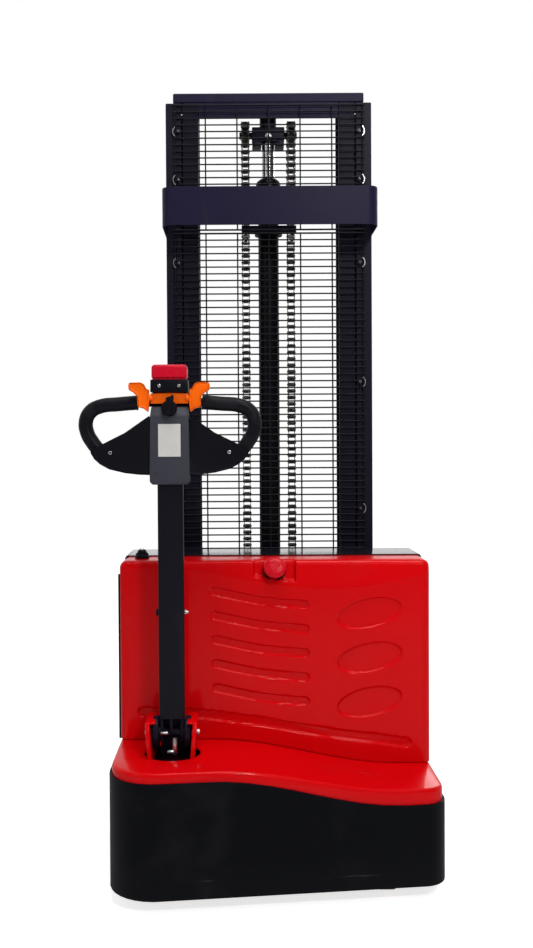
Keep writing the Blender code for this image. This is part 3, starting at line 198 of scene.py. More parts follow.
def mouldedPlastic(name, colour, worn, roughness, specular):
    plastic = Finish(name, specular=specular)
    patch = plastic.noise(11.0, 5)
    rub = plastic.between(plastic.noise(60.0, 5), 0.60, 0.75)
    plastic.feed(colour=plastic.blend(patch * 0.5 + rub * 0.25, colour, worn))
    plastic.feed(roughness=roughness + plastic.noise(90.0, 3) * 0.12)
    plastic.feed(normal=plastic.bump(plastic.voronoi(1400.0), 0.0003, 0.30))
    return plastic.material


def gripRubber():
    rubber = Finish("gripRubber", specular=0.11)
    wear = rubber.between(rubber.noise(26.0, 5), 0.45, 0.75)
    rubber.feed(colour=rubber.blend(wear, (0.0055, 0.0052, 0.0085, 1), (0.012, 0.012, 0.016, 1)))
    rubber.feed(roughness=0.40 + wear * 0.22)
    rubber.feed(normal=rubber.bump(rubber.noise(1200.0, 2), 0.0003, 0.35))
    return rubber.material


def bareSteel(name, colour, dark, roughness, stretch=(1, 1, 1), scale=180.0):
    steel = Finish(name, metallic=1.0)
    lines = steel.noise(scale, 4, stretch)
    stain = steel.between(steel.noise(30.0, 5), 0.50, 0.80)
    steel.feed(colour=steel.blend(stain * 0.6 + lines * 0.25, colour, dark))
    steel.feed(roughness=roughness + lines * 0.12 + stain * 0.10)
    steel.feed(normal=steel.bump(lines, 0.0002, 0.12))
    return steel.material


def chainSteel():
    steel = Finish("chainSteel", metallic=0.60)
    oil = steel.between(steel.noise(70.0, 4), 0.40, 0.65)
    steel.feed(colour=steel.blend(oil, (0.075, 0.062, 0.055, 1), (0.012, 0.010, 0.010, 1)))
    steel.feed(roughness=0.50 - oil * 0.20)
    steel.feed(normal=steel.bump(steel.noise(500.0, 3), 0.0003, 0.3))
    return steel.material


def polyurethane():
    tyre = Finish("polyurethane", specular=0.4)
    dirt = tyre.between(tyre.noise(40.0, 6), 0.45, 0.75)
    tyre.feed(colour=tyre.blend(dirt, (0.46, 0.13, 0.030, 1), (0.14, 0.075, 0.040, 1)))
    tyre.feed(roughness=0.42 + dirt * 0.25)
    tyre.feed(normal=tyre.bump(tyre.noise(300.0, 3), 0.0004, 0.25))
    return tyre.material


def stickerFilm():
    film = Finish("stickerFilm", specular=0.4)
    age = film.noise(45.0, 4)
    film.feed(colour=film.blend(age, (0.66, 0.65, 0.62, 1), (0.56, 0.55, 0.52, 1)))
    film.feed(roughness=0.38 + age * 0.12)
    film.feed(normal=film.bump(film.noise(140.0, 3), 0.0004, 0.12))
    return film.material


red = redPaint()
black = blackPaint()
wireBlack = blackPaint("wireBlack", (0.0050, 0.0044, 0.0085, 1), 0.34)
skirtFinish = skirtBlack()
greyPlastic = mouldedPlastic("greyPlastic", (0.036, 0.037, 0.052, 1), (0.048, 0.050, 0.064, 1), 0.42, 0.25)
blackPlastic = mouldedPlastic("blackPlastic", (0.0045, 0.0040, 0.0075, 1), (0.009, 0.009, 0.013, 1), 0.36, 0.08)
orangePlastic = mouldedPlastic("orangePlastic", (1.0, 0.145, 0.001, 1), (0.90, 0.115, 0.001, 1), 0.30, 0.12)
redPlastic = mouldedPlastic("redPlastic", (0.60, 0.003, 0.022, 1), (0.46, 0.003, 0.018, 1), 0.22, 0.16)
rubber = gripRubber()
zinc = bareSteel("zincSteel", (0.62, 0.62, 0.63, 1), (0.34, 0.33, 0.31, 1), 0.24)
chrome = bareSteel("hardChrome", (0.86, 0.86, 0.88, 1), (0.66, 0.66, 0.68, 1), 0.16, (1, 1, 0.02), 300.0)
oiledSteel = chainSteel()
darkSteel = bareSteel("darkSteel", (0.10, 0.10, 0.11, 1), (0.04, 0.04, 0.04, 1), 0.30)
tyreUrethane = polyurethane()
forkPaint = blackPaint("forkPaint", (0.0075, 0.0068, 0.0110, 1), 0.30)
rollerSteel = bareSteel("rollerSteel", (0.34, 0.33, 0.33, 1), (0.12, 0.11, 0.10, 1), 0.26)
film = stickerFilm()
print("finishes ready")


def piece(name, bm, finish, body, slotName, smoothAngle=35, instead=None):
    # makes an object of a bmesh, and hides the CAD node that it stands in for
    bmesh.ops.recalc_face_normals(bm, faces=bm.faces)
    mesh = bpy.data.meshes.new(name)
    bm.to_mesh(mesh)
    bm.free()
    mesh.materials.append(finish)
    mesh.shade_smooth()
    mesh.set_sharp_from_angle(angle=math.radians(smoothAngle))
    made = bpy.data.objects.new(name, mesh)
    bpy.context.scene.collection.objects.link(made)
    if body:
        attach(made, body)
    if instead:
        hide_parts(instead)
        nodes[instead].data.materials.clear()
        nodes[instead].data.materials.append(finish)
    return made


def pieceAt(origin, name, bm, *options):
    # for a shape drawn about an origin of its own
    bmesh.ops.translate(bm, verts=bm.verts, vec=origin)
    return piece(name, bm, *options)


def place(x, y, z, axis=(0, 0, 1)):
    # a matrix that sets a shape at a point, with its Z along the axis
    return Matrix.Translation((x, y, z)) @ turnTo(axis)


def mergeInto(bm, other):
    shape = bpy.data.meshes.new("part")
    other.to_mesh(shape)
    other.free()
    bm.from_mesh(shape)
    bpy.data.meshes.remove(shape)


def bodyOf(node):
    return nodes[node]["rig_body"]


def turnTo(axis):
    return Vector(axis).to_track_quat("Z", "Y").to_matrix().to_4x4()


def addBlock(bm, low, high, rounding=0.0, steps=2):
    low, high = Vector(low), Vector(high)
    size = high - low
    made = bmesh.ops.create_cube(bm, size=1, matrix=Matrix.Translation((low + high) / 2)
                                 @ Matrix.Diagonal((*size, 1)))["verts"]
    if rounding:
        edges = list({e for v in made for e in v.link_edges})
        bevelled = bmesh.ops.bevel(bm, geom=edges, offset=rounding, affect="EDGES", segments=steps,
                                   profile=0.5, material=-1)
        made = list({v for f in bevelled["faces"] for v in f.verts})
    return made


def addRod(bm, start, end, radius, sides=16, endRadius=None, rounding=0.0):
    start, end = Vector(start), Vector(end)
    made = bmesh.ops.create_cone(bm, cap_ends=True, segments=sides, radius1=radius,
                                 radius2=radius if endRadius is None else endRadius,
                                 depth=(end - start).length,
                                 matrix=place(*(start + end) / 2, end - start))["verts"]
    if rounding:
        rims = [e for e in {e for v in made for e in v.link_edges}
                if any(len(f.verts) > 4 for f in e.link_faces)]
        bevelled = bmesh.ops.bevel(bm, geom=rims, offset=rounding, affect="EDGES", segments=2,
                                   profile=0.5, material=-1)
        made = list({v for f in bevelled["faces"] for v in f.verts} | {v for v in made if v.is_valid})
    return made


def addTurned(bm, profile, matrix, steps=32):
    # profile of (radius, height) points, turned about Z and then placed
    made = [bm.verts.new((radius, 0, height)) for radius, height in profile]
    edges = [bm.edges.new(pair) for pair in zip(made, made[1:])]
    bmesh.ops.spin(bm, geom=made + edges, cent=(0, 0, 0), axis=(0, 0, 1), steps=steps, angle=math.tau,
                   use_merge=True)
    verts = {v for v in made if v.is_valid}
    grown = set(verts)
    while grown:
        grown = {e.other_vert(v) for v in grown for e in v.link_edges} - verts
        verts |= grown
    bmesh.ops.remove_doubles(bm, verts=list(verts), dist=0.00001)
    verts = [v for v in verts if v.is_valid]
    bmesh.ops.transform(bm, matrix=matrix, verts=verts)
    return verts


def addHexHead(bm, centre, axis, across, height):
    middle = Vector(centre) + Vector(axis).normalized() * height / 2
    made = bmesh.ops.create_cone(bm, cap_ends=True, segments=6, radius1=across / 2, radius2=across / 2,
                                 depth=height, matrix=place(*middle, axis))["verts"]
    edges = list({e for v in made for e in v.link_edges})
    bmesh.ops.bevel(bm, geom=edges, offset=height * 0.14, affect="EDGES", segments=2, profile=0.5,
                    material=-1)


def addSocketHead(bm, centre, axis, radius, height):
    # cap screw: a rounded head with a sunk hexagon
    sunk = radius * 0.52
    profile = [(0, height * 0.35), (sunk, height * 0.35), (sunk, height * 0.92), (radius * 0.72, height),
               (radius * 0.94, height * 0.84), (radius, height * 0.55), (radius, 0), (0, 0)]
    return addTurned(bm, profile, place(*centre, axis), 18)


def smoothCopy(node, finish, slotName, rounding, angle=38):
    # a CAD node with its loose triangles joined and its edges softened
    bm = bmesh.new()
    bm.from_mesh(nodes[node].data)
    bmesh.ops.remove_doubles(bm, verts=bm.verts, dist=0.00002)
    flat = [e for e in bm.edges if len(e.link_faces) == 2 and e.calc_face_angle(0) < 0.002]
    bmesh.ops.dissolve_limit(bm, angle_limit=0.002, verts=bm.verts, edges=flat, delimit=set())
    made = piece(node + "_finished", bm, finish, bodyOf(node), slotName, angle, node)
    soften = made.modifiers.new("soften", "BEVEL")
    soften.width, soften.segments, soften.limit_method = rounding, 2, "ANGLE"
    soften.angle_limit = math.radians(angle)
    soften.harden_normals = True


view = {"place": (-0.0418, -3.230, 1.063), "pitch": -1.007, "roll": -0.333,
        "focal": 1002.4 / 948 * 24, "shift": (0.0261, -0.0077)}
light = {"surround": 0.32, "room": 0.10, "key": 58, "fill": 12, "top": 82, "back": 55,
         "floor": (0.86, 0.86, 0.87, 1), "floorLift": 0.74}


def buildStudio():
    scene = bpy.context.scene
    scene.view_settings.view_transform = "Standard"
    eye = bpy.data.cameras.new("eye")
    eye.sensor_fit = "VERTICAL"
    eye.sensor_height = 24
    eye.lens = view["focal"]
    eye.shift_x, eye.shift_y = view["shift"]
    eye.clip_start = 0.05
    holder = bpy.data.objects.new("eye", eye)
    turn = Matrix.Rotation(math.radians(90 + view["pitch"]), 4, "X")
    turn = turn @ Matrix.Rotation(math.radians(view["roll"]), 4, "Z")
    holder.matrix_world = Matrix.Translation(view["place"]) @ turn
    scene.collection.objects.link(holder)
    scene.camera = holder

    world = bpy.data.worlds.new("surround")
    scene.world = world
    sky = Nodes(world)
    glossy = sky.add("ShaderNodeLightPath", output="Is Glossy Ray")
    passing = sky.add("ShaderNodeLightPath", output="Is Transmission Ray")
    indirect = sky.add("ShaderNodeMath", {"operation": "MAXIMUM"}, {0: glossy, 1: passing})
    ahead = sky.add("ShaderNodeSeparateXYZ", {}, {0: sky.add("ShaderNodeTexCoord", output="Generated")}, "Y")
    room = sky.between(ahead, -0.35, 0.45, light["room"], 1.0)    # white backdrop behind, dim room in front
    mirrored = sky.add("ShaderNodeMix", {}, {0: indirect, 2: light["surround"], 3: room})
    strength = sky.add("ShaderNodeMix", {},
                       {0: sky.add("ShaderNodeLightPath", output="Is Camera Ray"), 2: mirrored, 3: 1.0})
    backdrop = sky.add("ShaderNodeBackground", {}, {"Color": (1, 1, 1, 1), "Strength": strength})
    sky.add("ShaderNodeOutputWorld", {}, {"Surface": backdrop})

    for name, spot, aim, size, power in [
            ("key", (1.3, -4.2, 3.4), (0, -0.4, 0.7), (0.4, 0.4), light["key"]),
            ("fill", (-2.8, -3.4, 2.2), (0, -0.4, 0.9), (1.6, 2.2), light["fill"]),
            ("top", (0.3, -1.7, 4.4), (0, -0.4, 0.6), (2.2, 1.4), light["top"]),
            ("back", (2.2, 3.4, 2.8), (0, -0.2, 0.8), (1.8, 1.8), light["back"])]:
        lamp = bpy.data.lights.new(name, "AREA")
        lamp.shape = "RECTANGLE"
        lamp.size, lamp.size_y = size
        lamp.energy = power
        holder = bpy.data.objects.new(name, lamp)
        holder.location = spot
        holder.rotation_euler = (Vector(aim) - Vector(spot)).to_track_quat("-Z", "Y").to_euler()
        scene.collection.objects.link(holder)

    bm = bmesh.new()
    bmesh.ops.create_grid(bm, x_segments=1, y_segments=1, size=40)
    mesh = bpy.data.meshes.new("floor")
    bm.to_mesh(mesh)
    bm.free()
    floor = bpy.data.objects.new("floor", mesh)
    scene.collection.objects.link(floor)
    ground = bpy.data.materials.new("paleFloor")
    pale = Nodes(ground)
    seen = pale.add("ShaderNodeLightPath", output="Is Camera Ray")
    matt = pale.add("ShaderNodeBsdfDiffuse", {}, {"Color": light["floor"]})
    glow = pale.add("ShaderNodeEmission", {}, {"Strength": seen * light["floorLift"]})
    both = pale.add("ShaderNodeAddShader", {}, {0: matt, 1: glow})
    pale.add("ShaderNodeOutputMaterial", {}, {"Surface": both})
    mesh.materials.append(ground)


buildStudio()
print("studio ready")


# body cover

def smooth(value):
    value = min(1.0, max(0.0, value))
    return value * value * (3 - 2 * value)


def along(points, x):
    # height of a smooth line through the points
    if x <= points[0][0]:
        return points[0][1]
    for i in range(len(points) - 1):
        (x0, z0), (x1, z1) = points[i], points[i + 1]
        if x <= x1:
            before, after = points[max(i - 1, 0)], points[min(i + 2, len(points) - 1)]
            span = x1 - x0
            slope0 = (z1 - before[1]) / (x1 - before[0]) * span
            slope1 = (after[1] - z0) / (after[0] - x0) * span
            t = (x - x0) / span
            return ((2 * t ** 3 - 3 * t ** 2 + 1) * z0 + (t ** 3 - 2 * t ** 2 + t) * slope0
                    + (3 * t ** 2 - 2 * t ** 3) * z1 + (t ** 3 - t ** 2) * slope1)
    return points[-1][1]


coverLow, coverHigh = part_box("body_cover")
middleX = (coverLow.x + coverHigh.x) / 2
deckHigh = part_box("deck_cover")[1]
deckRight = max(v.co.z for v in nodes["deck_cover"].data.vertices if v.co.x > middleX + 0.32)
cover = {"rounding": 0.018, "lean": 0.20, "wall": 0.0034, "depth": 0.0050,
         "crease": [(-0.40, 0.775), (-0.2307, 0.7624), (-0.0864, 0.736), (0.0427, 0.7150), (0.1719, 0.7110),
                    (0.268, 0.7212), (0.3845, 0.746)],
         "rib": [(-0.1536, 0.7024), (-0.0380, 0.6785), (0.0762, 0.6668)], "ribs": 5, "ribPitch": 0.0615,
         "ribHalf": 0.0112, "longRib": [(-0.337, 0.3954), (-0.2201, 0.3930), (-0.0639, 0.3736),
                                        (0.1177, 0.3435), (0.2453, 0.3271), (0.333, 0.3140)],
         "oval": (0.2402, 0.645), "ovals": 3, "ovalPitch": 0.1132, "ovalSize": (0.0835, 0.0365),
         "ovalTilt": 12, "pocketTop": 0.7725, "pocketHalf": 0.0555, "pocketLeft": 0.7385,
         "pocketRight": 0.7235, "pocketDepth": 0.013}


def deckHeight(x):
    return deckHigh.z + (deckRight - deckHigh.z) * smooth((x + 0.150) / 0.450)


def ribDistance(path, x, z, half):
    start, end = path[0][0], path[-1][0]
    if x < start:
        return math.hypot(x - start, z - path[0][1]) - half
    if x > end:
        return math.hypot(x - end, z - path[-1][1]) - half
    line = along(path, x)
    slope = (along(path, min(end, x + 0.004)) - along(path, max(start, x - 0.004))) / 0.008
    return abs(z - line) / math.hypot(1, slope) - half


def coverRelief(x, z):
    # how far the front stands back at this place, x measured from the cover's middle
    distance = 1.0
    for i in range(cover["ribs"]):
        path = [(px + 0.0012 * i * (j == 0), pz - cover["ribPitch"] * i)
                for j, (px, pz) in enumerate(cover["rib"])]
        distance = min(distance, ribDistance(path, x, z, cover["ribHalf"]))
    distance = min(distance, ribDistance(cover["longRib"], x, z, 0.0125))
    a, b = cover["ovalSize"]
    tilt = math.radians(cover["ovalTilt"])
    for i in range(cover["ovals"]):
        px, pz = x - cover["oval"][0], z - cover["oval"][1] + cover["ovalPitch"] * i
        u, v = px * math.cos(tilt) + pz * math.sin(tilt), pz * math.cos(tilt) - px * math.sin(tilt)
        q = math.hypot(u / a, v / b)
        if q > 0.4:
            distance = min(distance, (q - 1) * q / math.hypot(u / a ** 2, v / b ** 2))
        elif abs(px) < a:
            distance = -1.0
    sunk = cover["depth"] * smooth(-distance / cover["wall"] + 0.25)
    lean = max(0.0, z - along(cover["crease"], x)) * cover["lean"]
    slant = x / cover["pocketHalf"] / 2 + 0.5
    low = cover["pocketLeft"] + (cover["pocketRight"] - cover["pocketLeft"]) * slant
    edge = max(abs(x) - cover["pocketHalf"], z - cover["pocketTop"], low - z)
    return sunk + lean + cover["pocketDepth"] * smooth(-edge / 0.005)


def buildCover():
    r, front, top = cover["rounding"], coverLow.y, coverHigh.z
    half = (coverHigh.x - coverLow.x) / 2
    depth = coverHigh.y - coverLow.y
    foldLength = r * math.pi / 2
    sides = [foldLength * i / 6 for i in range(1, 7)] + [foldLength + (depth - r) * i / 3 for i in range(1, 4)]
    frontColumns, frontRows = 262, 150
    columns = ([-(half - r) - s for s in reversed(sides)]
               + [-(half - r) + 2 * (half - r) * i / frontColumns for i in range(frontColumns + 1)]
               + [half - r + s for s in sides])
    rows = [i / frontRows for i in range(frontRows + 1)] + [1 + s for s in sides]
    bm = bmesh.new()
    bmesh.ops.create_grid(bm, x_segments=len(columns) - 1, y_segments=len(rows) - 1, size=0.5)
    for v in bm.verts:
        u = columns[round((v.co.x + 0.5) * (len(columns) - 1))]
        row = rows[round((v.co.y + 0.5) * (len(rows) - 1))]
        side = 1 if u > 0 else -1
        du, dv = max(0.0, abs(u) - (half - r)), max(0.0, row - 1)
        x = max(-(half - r), min(half - r, u))
        bottom = deckHeight(u if abs(u) < half else side * half) + 0.0015
        z = bottom + (top - r - bottom) * min(row, 1.0)
        d = max(du, dv)
        turn = 0.0
        if d:
            turn = math.pi / 2 - math.pi / 4 * du / dv if dv > du else math.pi / 4 * dv / du
        angle = min(d / r, math.pi / 2)
        out, back = r * math.sin(angle), r * (1 - math.cos(angle)) + max(0.0, d - foldLength)
        px, pz = x + side * out * math.cos(turn), z + out * math.sin(turn)
        relief = coverRelief(x, z) * (1 - back / depth) ** 2
        v.co = (middleX + px, front + back + relief, pz)
    made = piece("coverPanel", bm, red, "chassis", "red_paint", 40, "body_cover")
    wall = made.modifiers.new("wall", "SOLIDIFY")
    wall.thickness = 0.003
    wall.offset = -1


buildCover()
print("body cover built")


# wire guards with their bolts and saddle clips
guard = {"pitch": 0.0191, "wire": 0.0021, "upright": 0.0021, "edge": 0.0026, "column": 0.090,
         "clipHeights": (1.967, 1.830, 1.594, 1.253, 0.892), "clipTurn": 50,
         "clip": [(0.0165, -0.0044), (0.0188, -0.0044), (0.0188, 0.0035), (0.0165, 0.0035)]}


def buildGuard(node):
    low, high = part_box(node)
    middle = (low.x + high.x) / 2
    front, back = low.y + guard["wire"], high.y - guard["upright"]
    bm = bmesh.new()
    rows = round((high.z - low.z - 2 * guard["wire"]) / guard["pitch"])
    for i in range(rows + 1):
        z = low.z + guard["wire"] + (high.z - low.z - 2 * guard["wire"]) * i / rows
        thick = guard["edge"] if i in (0, rows) else guard["wire"]
        z += 0.0005 * (i == 0) - 0.0005 * (i == rows)
        addRod(bm, (low.x + 0.0005, front, z), (high.x - 0.0005, front, z), thick, 8)
    uprights = [middle + guard["column"] * i for i in range(-2, 3)]
    for x in uprights:
        addRod(bm, (x, back, low.z + 0.001), (x, back, high.z - 0.001), guard["upright"], 8)
    for x in (low.x + 0.006, high.x - 0.006):
        addRod(bm, (x, back, low.z + 0.001), (x, back, high.z - 0.001), guard["edge"], 8)
    piece(node + "_wires", bm, wireBlack, "chassis", "black_paint", 60, node)


def buildClips():
    low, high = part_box("guard_lower")
    bm = bmesh.new()
    screws = bmesh.new()
    for z in guard["clipHeights"]:
        for side, x in ((-1, low.x + 0.006), (1, high.x - 0.006)):
            hub = Vector((x - side * 0.0125, low.y, z))
            turn = math.radians(guard["clipTurn"])
            corners = [bm.verts.new(hub + Vector((side * reach, depth, 0))) for reach, depth in guard["clip"]]
            bmesh.ops.rotate(bm, verts=corners, cent=hub, matrix=Matrix.Rotation(side * turn, 3, "Y"))
            section = bmesh.ops.contextual_create(bm, geom=corners)["faces"]
            bmesh.ops.spin(bm, geom=section, cent=hub, axis=(0, side, 0), steps=10, angle=-2 * turn)
            centre = Vector((x - side * 0.0095, low.y - 0.0030, z))
            addTurned(screws, [(0, 0.0012), (0.0048, 0.0012), (0.0052, 0.0006), (0.0052, 0), (0, 0)],
                      place(*centre, (0, -1, 0)), 18)
            addHexHead(screws, centre + Vector((0, -0.0012, 0)), (0, -1, 0), 0.0078, 0.0030)
            addRod(screws, centre, (centre.x, high.y + 0.004, z), 0.0025, 10)
    piece("guardClips", bm, zinc, "chassis", "steel", 30)
    piece("guardScrews", screws, darkSteel, "chassis", "steel", 35)


buildGuard("guard_upper")
buildGuard("guard_lower")
buildClips()
print("guards built")


# lift chains and what they run over
chain = {"pitch": 0.01905, "roller": 0.0059, "rollerHalf": 0.0070, "innerPlate": 0.0084, "outerPlate": 0.0104,
         "plateHalf": 0.0009, "plateHeight": 0.0078, "pinHalf": 0.0129, "pin": 0.0028, "endGap": 0.012,
         "wraps": 6, "shackle": (0.0068, 0.006, 0.014)}


def addPlate(bm, start, end, x, thickness, height):
    # a waisted link plate between two pins
    middle, run = (start + end) / 2, end - start
    size = run.length / 2 + height
    made = bmesh.ops.create_circle(bm, cap_ends=True, segments=10, radius=1)["verts"]
    for v in made:
        across = height * (0.80 + 0.20 * min(1, abs(v.co.x) * 1.25)) if abs(v.co.y) > 0.9 else height
        v.co = Vector((v.co.x * size, v.co.y * across, -thickness))
    faces = list({f for v in made for f in v.link_faces})
    grown = bmesh.ops.extrude_face_region(bm, geom=faces)["geom"]
    raised = [v for v in grown if isinstance(v, bmesh.types.BMVert)]
    bmesh.ops.translate(bm, vec=(0, 0, 2 * thickness), verts=raised)
    direction = run.normalized()
    turn = Matrix((direction, Vector((1, 0, 0)).cross(direction), Vector((1, 0, 0)))).transposed().to_4x4()
    bmesh.ops.transform(bm, matrix=Matrix.Translation((x, middle.y, middle.z)) @ turn,
                        verts=list(made) + raised)


def addChain(bm, centreX, stations, offset=0):
    for i, spot in enumerate(stations):
        pin = Vector((centreX, spot[0], spot[1]))
        reach = Vector((chain["pinHalf"], 0, 0))
        addRod(bm, pin - reach, pin + reach, chain["pin"], 6)
        reach = Vector((chain["rollerHalf"], 0, 0))
        addRod(bm, pin - reach, pin + reach, chain["roller"], 10)
        if i + 1 < len(stations):
            after = Vector((centreX, stations[i + 1][0], stations[i + 1][1]))
            out = chain["innerPlate"] if (i + offset) % 2 else chain["outerPlate"]
            for side in (-1, 1):
                addPlate(bm, pin, after, centreX + side * out, chain["plateHalf"], chain["plateHeight"])


def chainRun(x, y, start, end, gap=0):
    # a straight run of whole links, and how many there are
    count = round((abs(end - start) - gap) / chain["pitch"])
    step = (abs(end - start) - gap) / count * (1 if end > start else -1)
    bm = bmesh.new()
    addChain(bm, x, [(y, start + step * i) for i in range(count + 1)])
    return bm, count


def addShackle(bm, x, y, z, drop):
    half, depth, rise = chain["shackle"]
    addBlock(bm, (x - half, y - depth, z - drop), (x + half, y + depth, z + rise), 0.002)


def buildChains(word):
    rearLow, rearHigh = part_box("rear_chain_" + word)
    frontLow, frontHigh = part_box("front_chain_" + word)
    x = (rearLow.x + rearHigh.x) / 2
    backY, frontY = (rearLow.y + rearHigh.y) / 2, (frontLow.y + frontHigh.y) / 2
    wheelZ, middleY = rearHigh.z, (backY + frontY) / 2
    radius, gap = (frontY - backY) / 2, chain["endGap"]
    # up from the fixed anchor to the wheel, over it, and down to the carriage
    bm, count = chainRun(x, backY, rearLow.z + gap, wheelZ)
    rear = piece("rearChain_" + word, bm, oiledSteel, None, "chain_steel", 40, "rear_chain_" + word)
    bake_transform(rear)
    turns = [math.pi * i / chain["wraps"] for i in range(chain["wraps"] + 1)]
    bm = bmesh.new()
    addChain(bm, x, [(middleY - radius * math.cos(t), wheelZ + radius * math.sin(t)) for t in turns], count)
    piece("chainWrap_" + word, bm, oiledSteel, "inner_mast", "chain_steel", 40)
    bm, count = chainRun(x, frontY, wheelZ, frontLow.z, gap)
    front = piece("frontChain_" + word, bm, oiledSteel, None, "chain_steel", 40, "front_chain_" + word)
    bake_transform(front)
    # anchor shackles at both ends
    bm = bmesh.new()
    addShackle(bm, x, backY, rearLow.z, 0.002)
    addRod(bm, (x, backY, rearLow.z - 0.045), (x, backY, rearLow.z), 0.0050, 16)
    for drop in (0.0295, 0.0375):
        addHexHead(bm, (x, backY, rearLow.z - drop), (0, 0, 1), 0.0190, 0.0060)
    piece("chainAnchor_" + word, bm, zinc, "chassis", "steel", 35)
    bm = bmesh.new()
    addShackle(bm, x, frontY, frontLow.z, 0.004)
    piece("chainHitch_" + word, bm, zinc, "carriage", "steel", 35)
    # flanged wheel
    low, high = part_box("chain_wheel_" + word)
    rim, half = (high.z - low.z) / 2, (high.x - low.x) / 2
    edge = [(0.0104, -half), (0.016, -half), (0.017, -half + 0.002), (rim - 0.006, -half + 0.002),
            (rim - 0.005, -half), (rim - 0.0008, -half), (rim, -half + 0.0010), (rim - 0.0016, -half + 0.0032)]
    bm = bmesh.new()
    addTurned(bm, edge + [(radius, -height) for radius, height in reversed(edge)] + [edge[0]],
              place(x, middleY, wheelZ, (1, 0, 0)), 40)
    piece("chainWheel_" + word, bm, darkSteel, "chain_wheels", "steel", 30, "chain_wheel_" + word)


def buildCylinder():
    low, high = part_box("lift_cylinder")
    centre = Vector(((low.x + high.x) / 2, (low.y + high.y) / 2, 0))
    gland = (high.x - low.x) / 2
    tube, rod = gland - 0.006, 0.018
    top, shoulder = high.z + 0.008, high.z - 0.018
    outside = [(rod + 0.0004, top - 0.004), (rod + 0.003, top - 0.001), (rod + 0.006, top),
               (gland * 0.72, top - 0.002), (gland * 0.90, top - 0.007), (gland, top - 0.014),
               (gland, shoulder),
               (tube + 0.002, shoulder - 0.003), (tube + 0.002, shoulder - 0.010), (tube, shoulder - 0.013),
               (tube, low.z + 0.06), (tube + 0.004, low.z + 0.055), (tube + 0.004, low.z), (0.0, low.z)]
    inside = [outside[0], (rod + 0.0004, shoulder), (rod + 0.005, shoulder), (rod + 0.005, low.z + 0.03),
              (0, low.z + 0.03)]
    bm = bmesh.new()
    for profile in (outside, inside):
        addTurned(bm, profile, Matrix.Translation(centre), 48)
    bmesh.ops.remove_doubles(bm, verts=bm.verts, dist=0.00002)
    piece("liftCylinder", bm, cylinderBlack, "chassis", "black_paint", 32, "lift_cylinder")
    low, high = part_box("piston_rod")
    profile = [(0, high.z), (rod - 0.0015, high.z), (rod, high.z - 0.0015), (rod, low.z + 0.040),
               (rod + 0.0045, low.z + 0.040), (rod + 0.0045, low.z), (0, low.z)]
    bm = bmesh.new()
    addTurned(bm, profile, Matrix.Translation(centre), 48)
    piece("pistonRod", bm, chrome, "inner_mast", "chrome", 30, "piston_rod")
    return centre


crosshead = {"half": 0.0468, "deep": 0.026, "drop": 0.037, "rise": 0.018, "post": 0.0242, "postFlat": 0.0218,
             "seamHalf": 0.030, "axle": 0.0098}


def buildCrosshead(x, y):
    low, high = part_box("chain_crosshead")
    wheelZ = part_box("rear_chain_left")[1].z
    half, deep, top = crosshead["half"], crosshead["deep"], wheelZ + crosshead["rise"]
    bm = bmesh.new()
    addBlock(bm, (x - half, y - deep, wheelZ - 0.0200), (x + half, y + deep, top), 0.0022)
    for side in (-1, 1):
        inner, outer = sorted((x + side * 0.0195, x + side * (half - 0.001)))
        addBlock(bm, (inner, y - deep + 0.001, wheelZ - crosshead["drop"] + 0.0002),
                 (outer, y + deep - 0.001, wheelZ - 0.017), 0.0022)
    addBlock(bm, (x - crosshead["seamHalf"], y - deep - 0.0016, wheelZ - 0.0235),
             (x + crosshead["seamHalf"], y - deep + 0.002, wheelZ - 0.0200), 0.0008)
    radius, flat = crosshead["post"], crosshead["postFlat"]
    profile = [(0, high.z), (radius, high.z), (radius, top + 0.006), (radius + 0.004, top),
               (radius + 0.004, top - 0.002), (0, top - 0.002)]
    post = addTurned(bm, profile, Matrix.Translation((x, y, 0)), 40)
    for v in post:
        if v.is_valid:
            v.co.y = max(y - flat, min(y + flat, v.co.y))
    addRod(bm, (low.x, y, wheelZ), (high.x, y, wheelZ), crosshead["axle"], 24)
    piece("chainCrosshead", bm, black, "inner_mast", "black_paint", 34, "chain_crosshead")
    face = Vector((x, y - deep, wheelZ - 0.0090))
    bm = bmesh.new()
    addTurned(bm, [(0, 0.0012), (0.0090, 0.0012), (0.0096, 0.0006), (0.0096, 0), (0, 0)],
              place(*face, (0, -1, 0)), 20)
    addHexHead(bm, face + Vector((0, -0.0012, 0)), (0, -1, 0), 0.0125, 0.0052)
    for side in (-1, 1):
        at = (low.x if side < 0 else high.x) - side * 0.004
        addTurned(bm, [(0, 0.003), (0.0068, 0.003), (0.0078, 0.002), (0.0078, -0.004), (0, -0.004)],
                  place(at, y, wheelZ, (side, 0, 0)), 18)
    piece("crossheadBolts", bm, zinc, "inner_mast", "steel", 32)


cylinderBlack = blackPaint("cylinderBlack", (0.0035, 0.0035, 0.0050, 1), 0.22)
buildChains("left")
buildChains("right")
axis = buildCylinder()
buildCrosshead(axis.x, axis.y)
print("lifting gear built")


# mast rails, band and top cap
bandPaint = blackPaint("bandPaint", (0.0115, 0.0085, 0.0300, 1), 0.36)
for node, edge, finish in [("outer_channel_left", 0.0025, black), ("outer_channel_right", 0.0025, black),
                           ("inner_channel_left", 0.0022, black), ("inner_channel_right", 0.0022, black),
                           ("outer_crossmember", 0.0009, bandPaint),
                           ("inner_top_crossmember", 0.0014, bandPaint),
                           ("inner_lower_crossmember", 0.0020, black), ("chain_anchor_bar", 0.0015, black)]:
    smoothCopy(node, finish, "black_paint", edge)
print("mast built")

# handle head, drawn about the middle of its front cover's lower edge
headLow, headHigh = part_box("head_cover")
headFoot = Vector(((headLow.x + headHigh.x) / 2, 0, headLow.z))
wingFront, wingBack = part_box("handle_housing")[0].y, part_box("handle_housing")[1].y
barY = (wingFront + wingBack) / 2


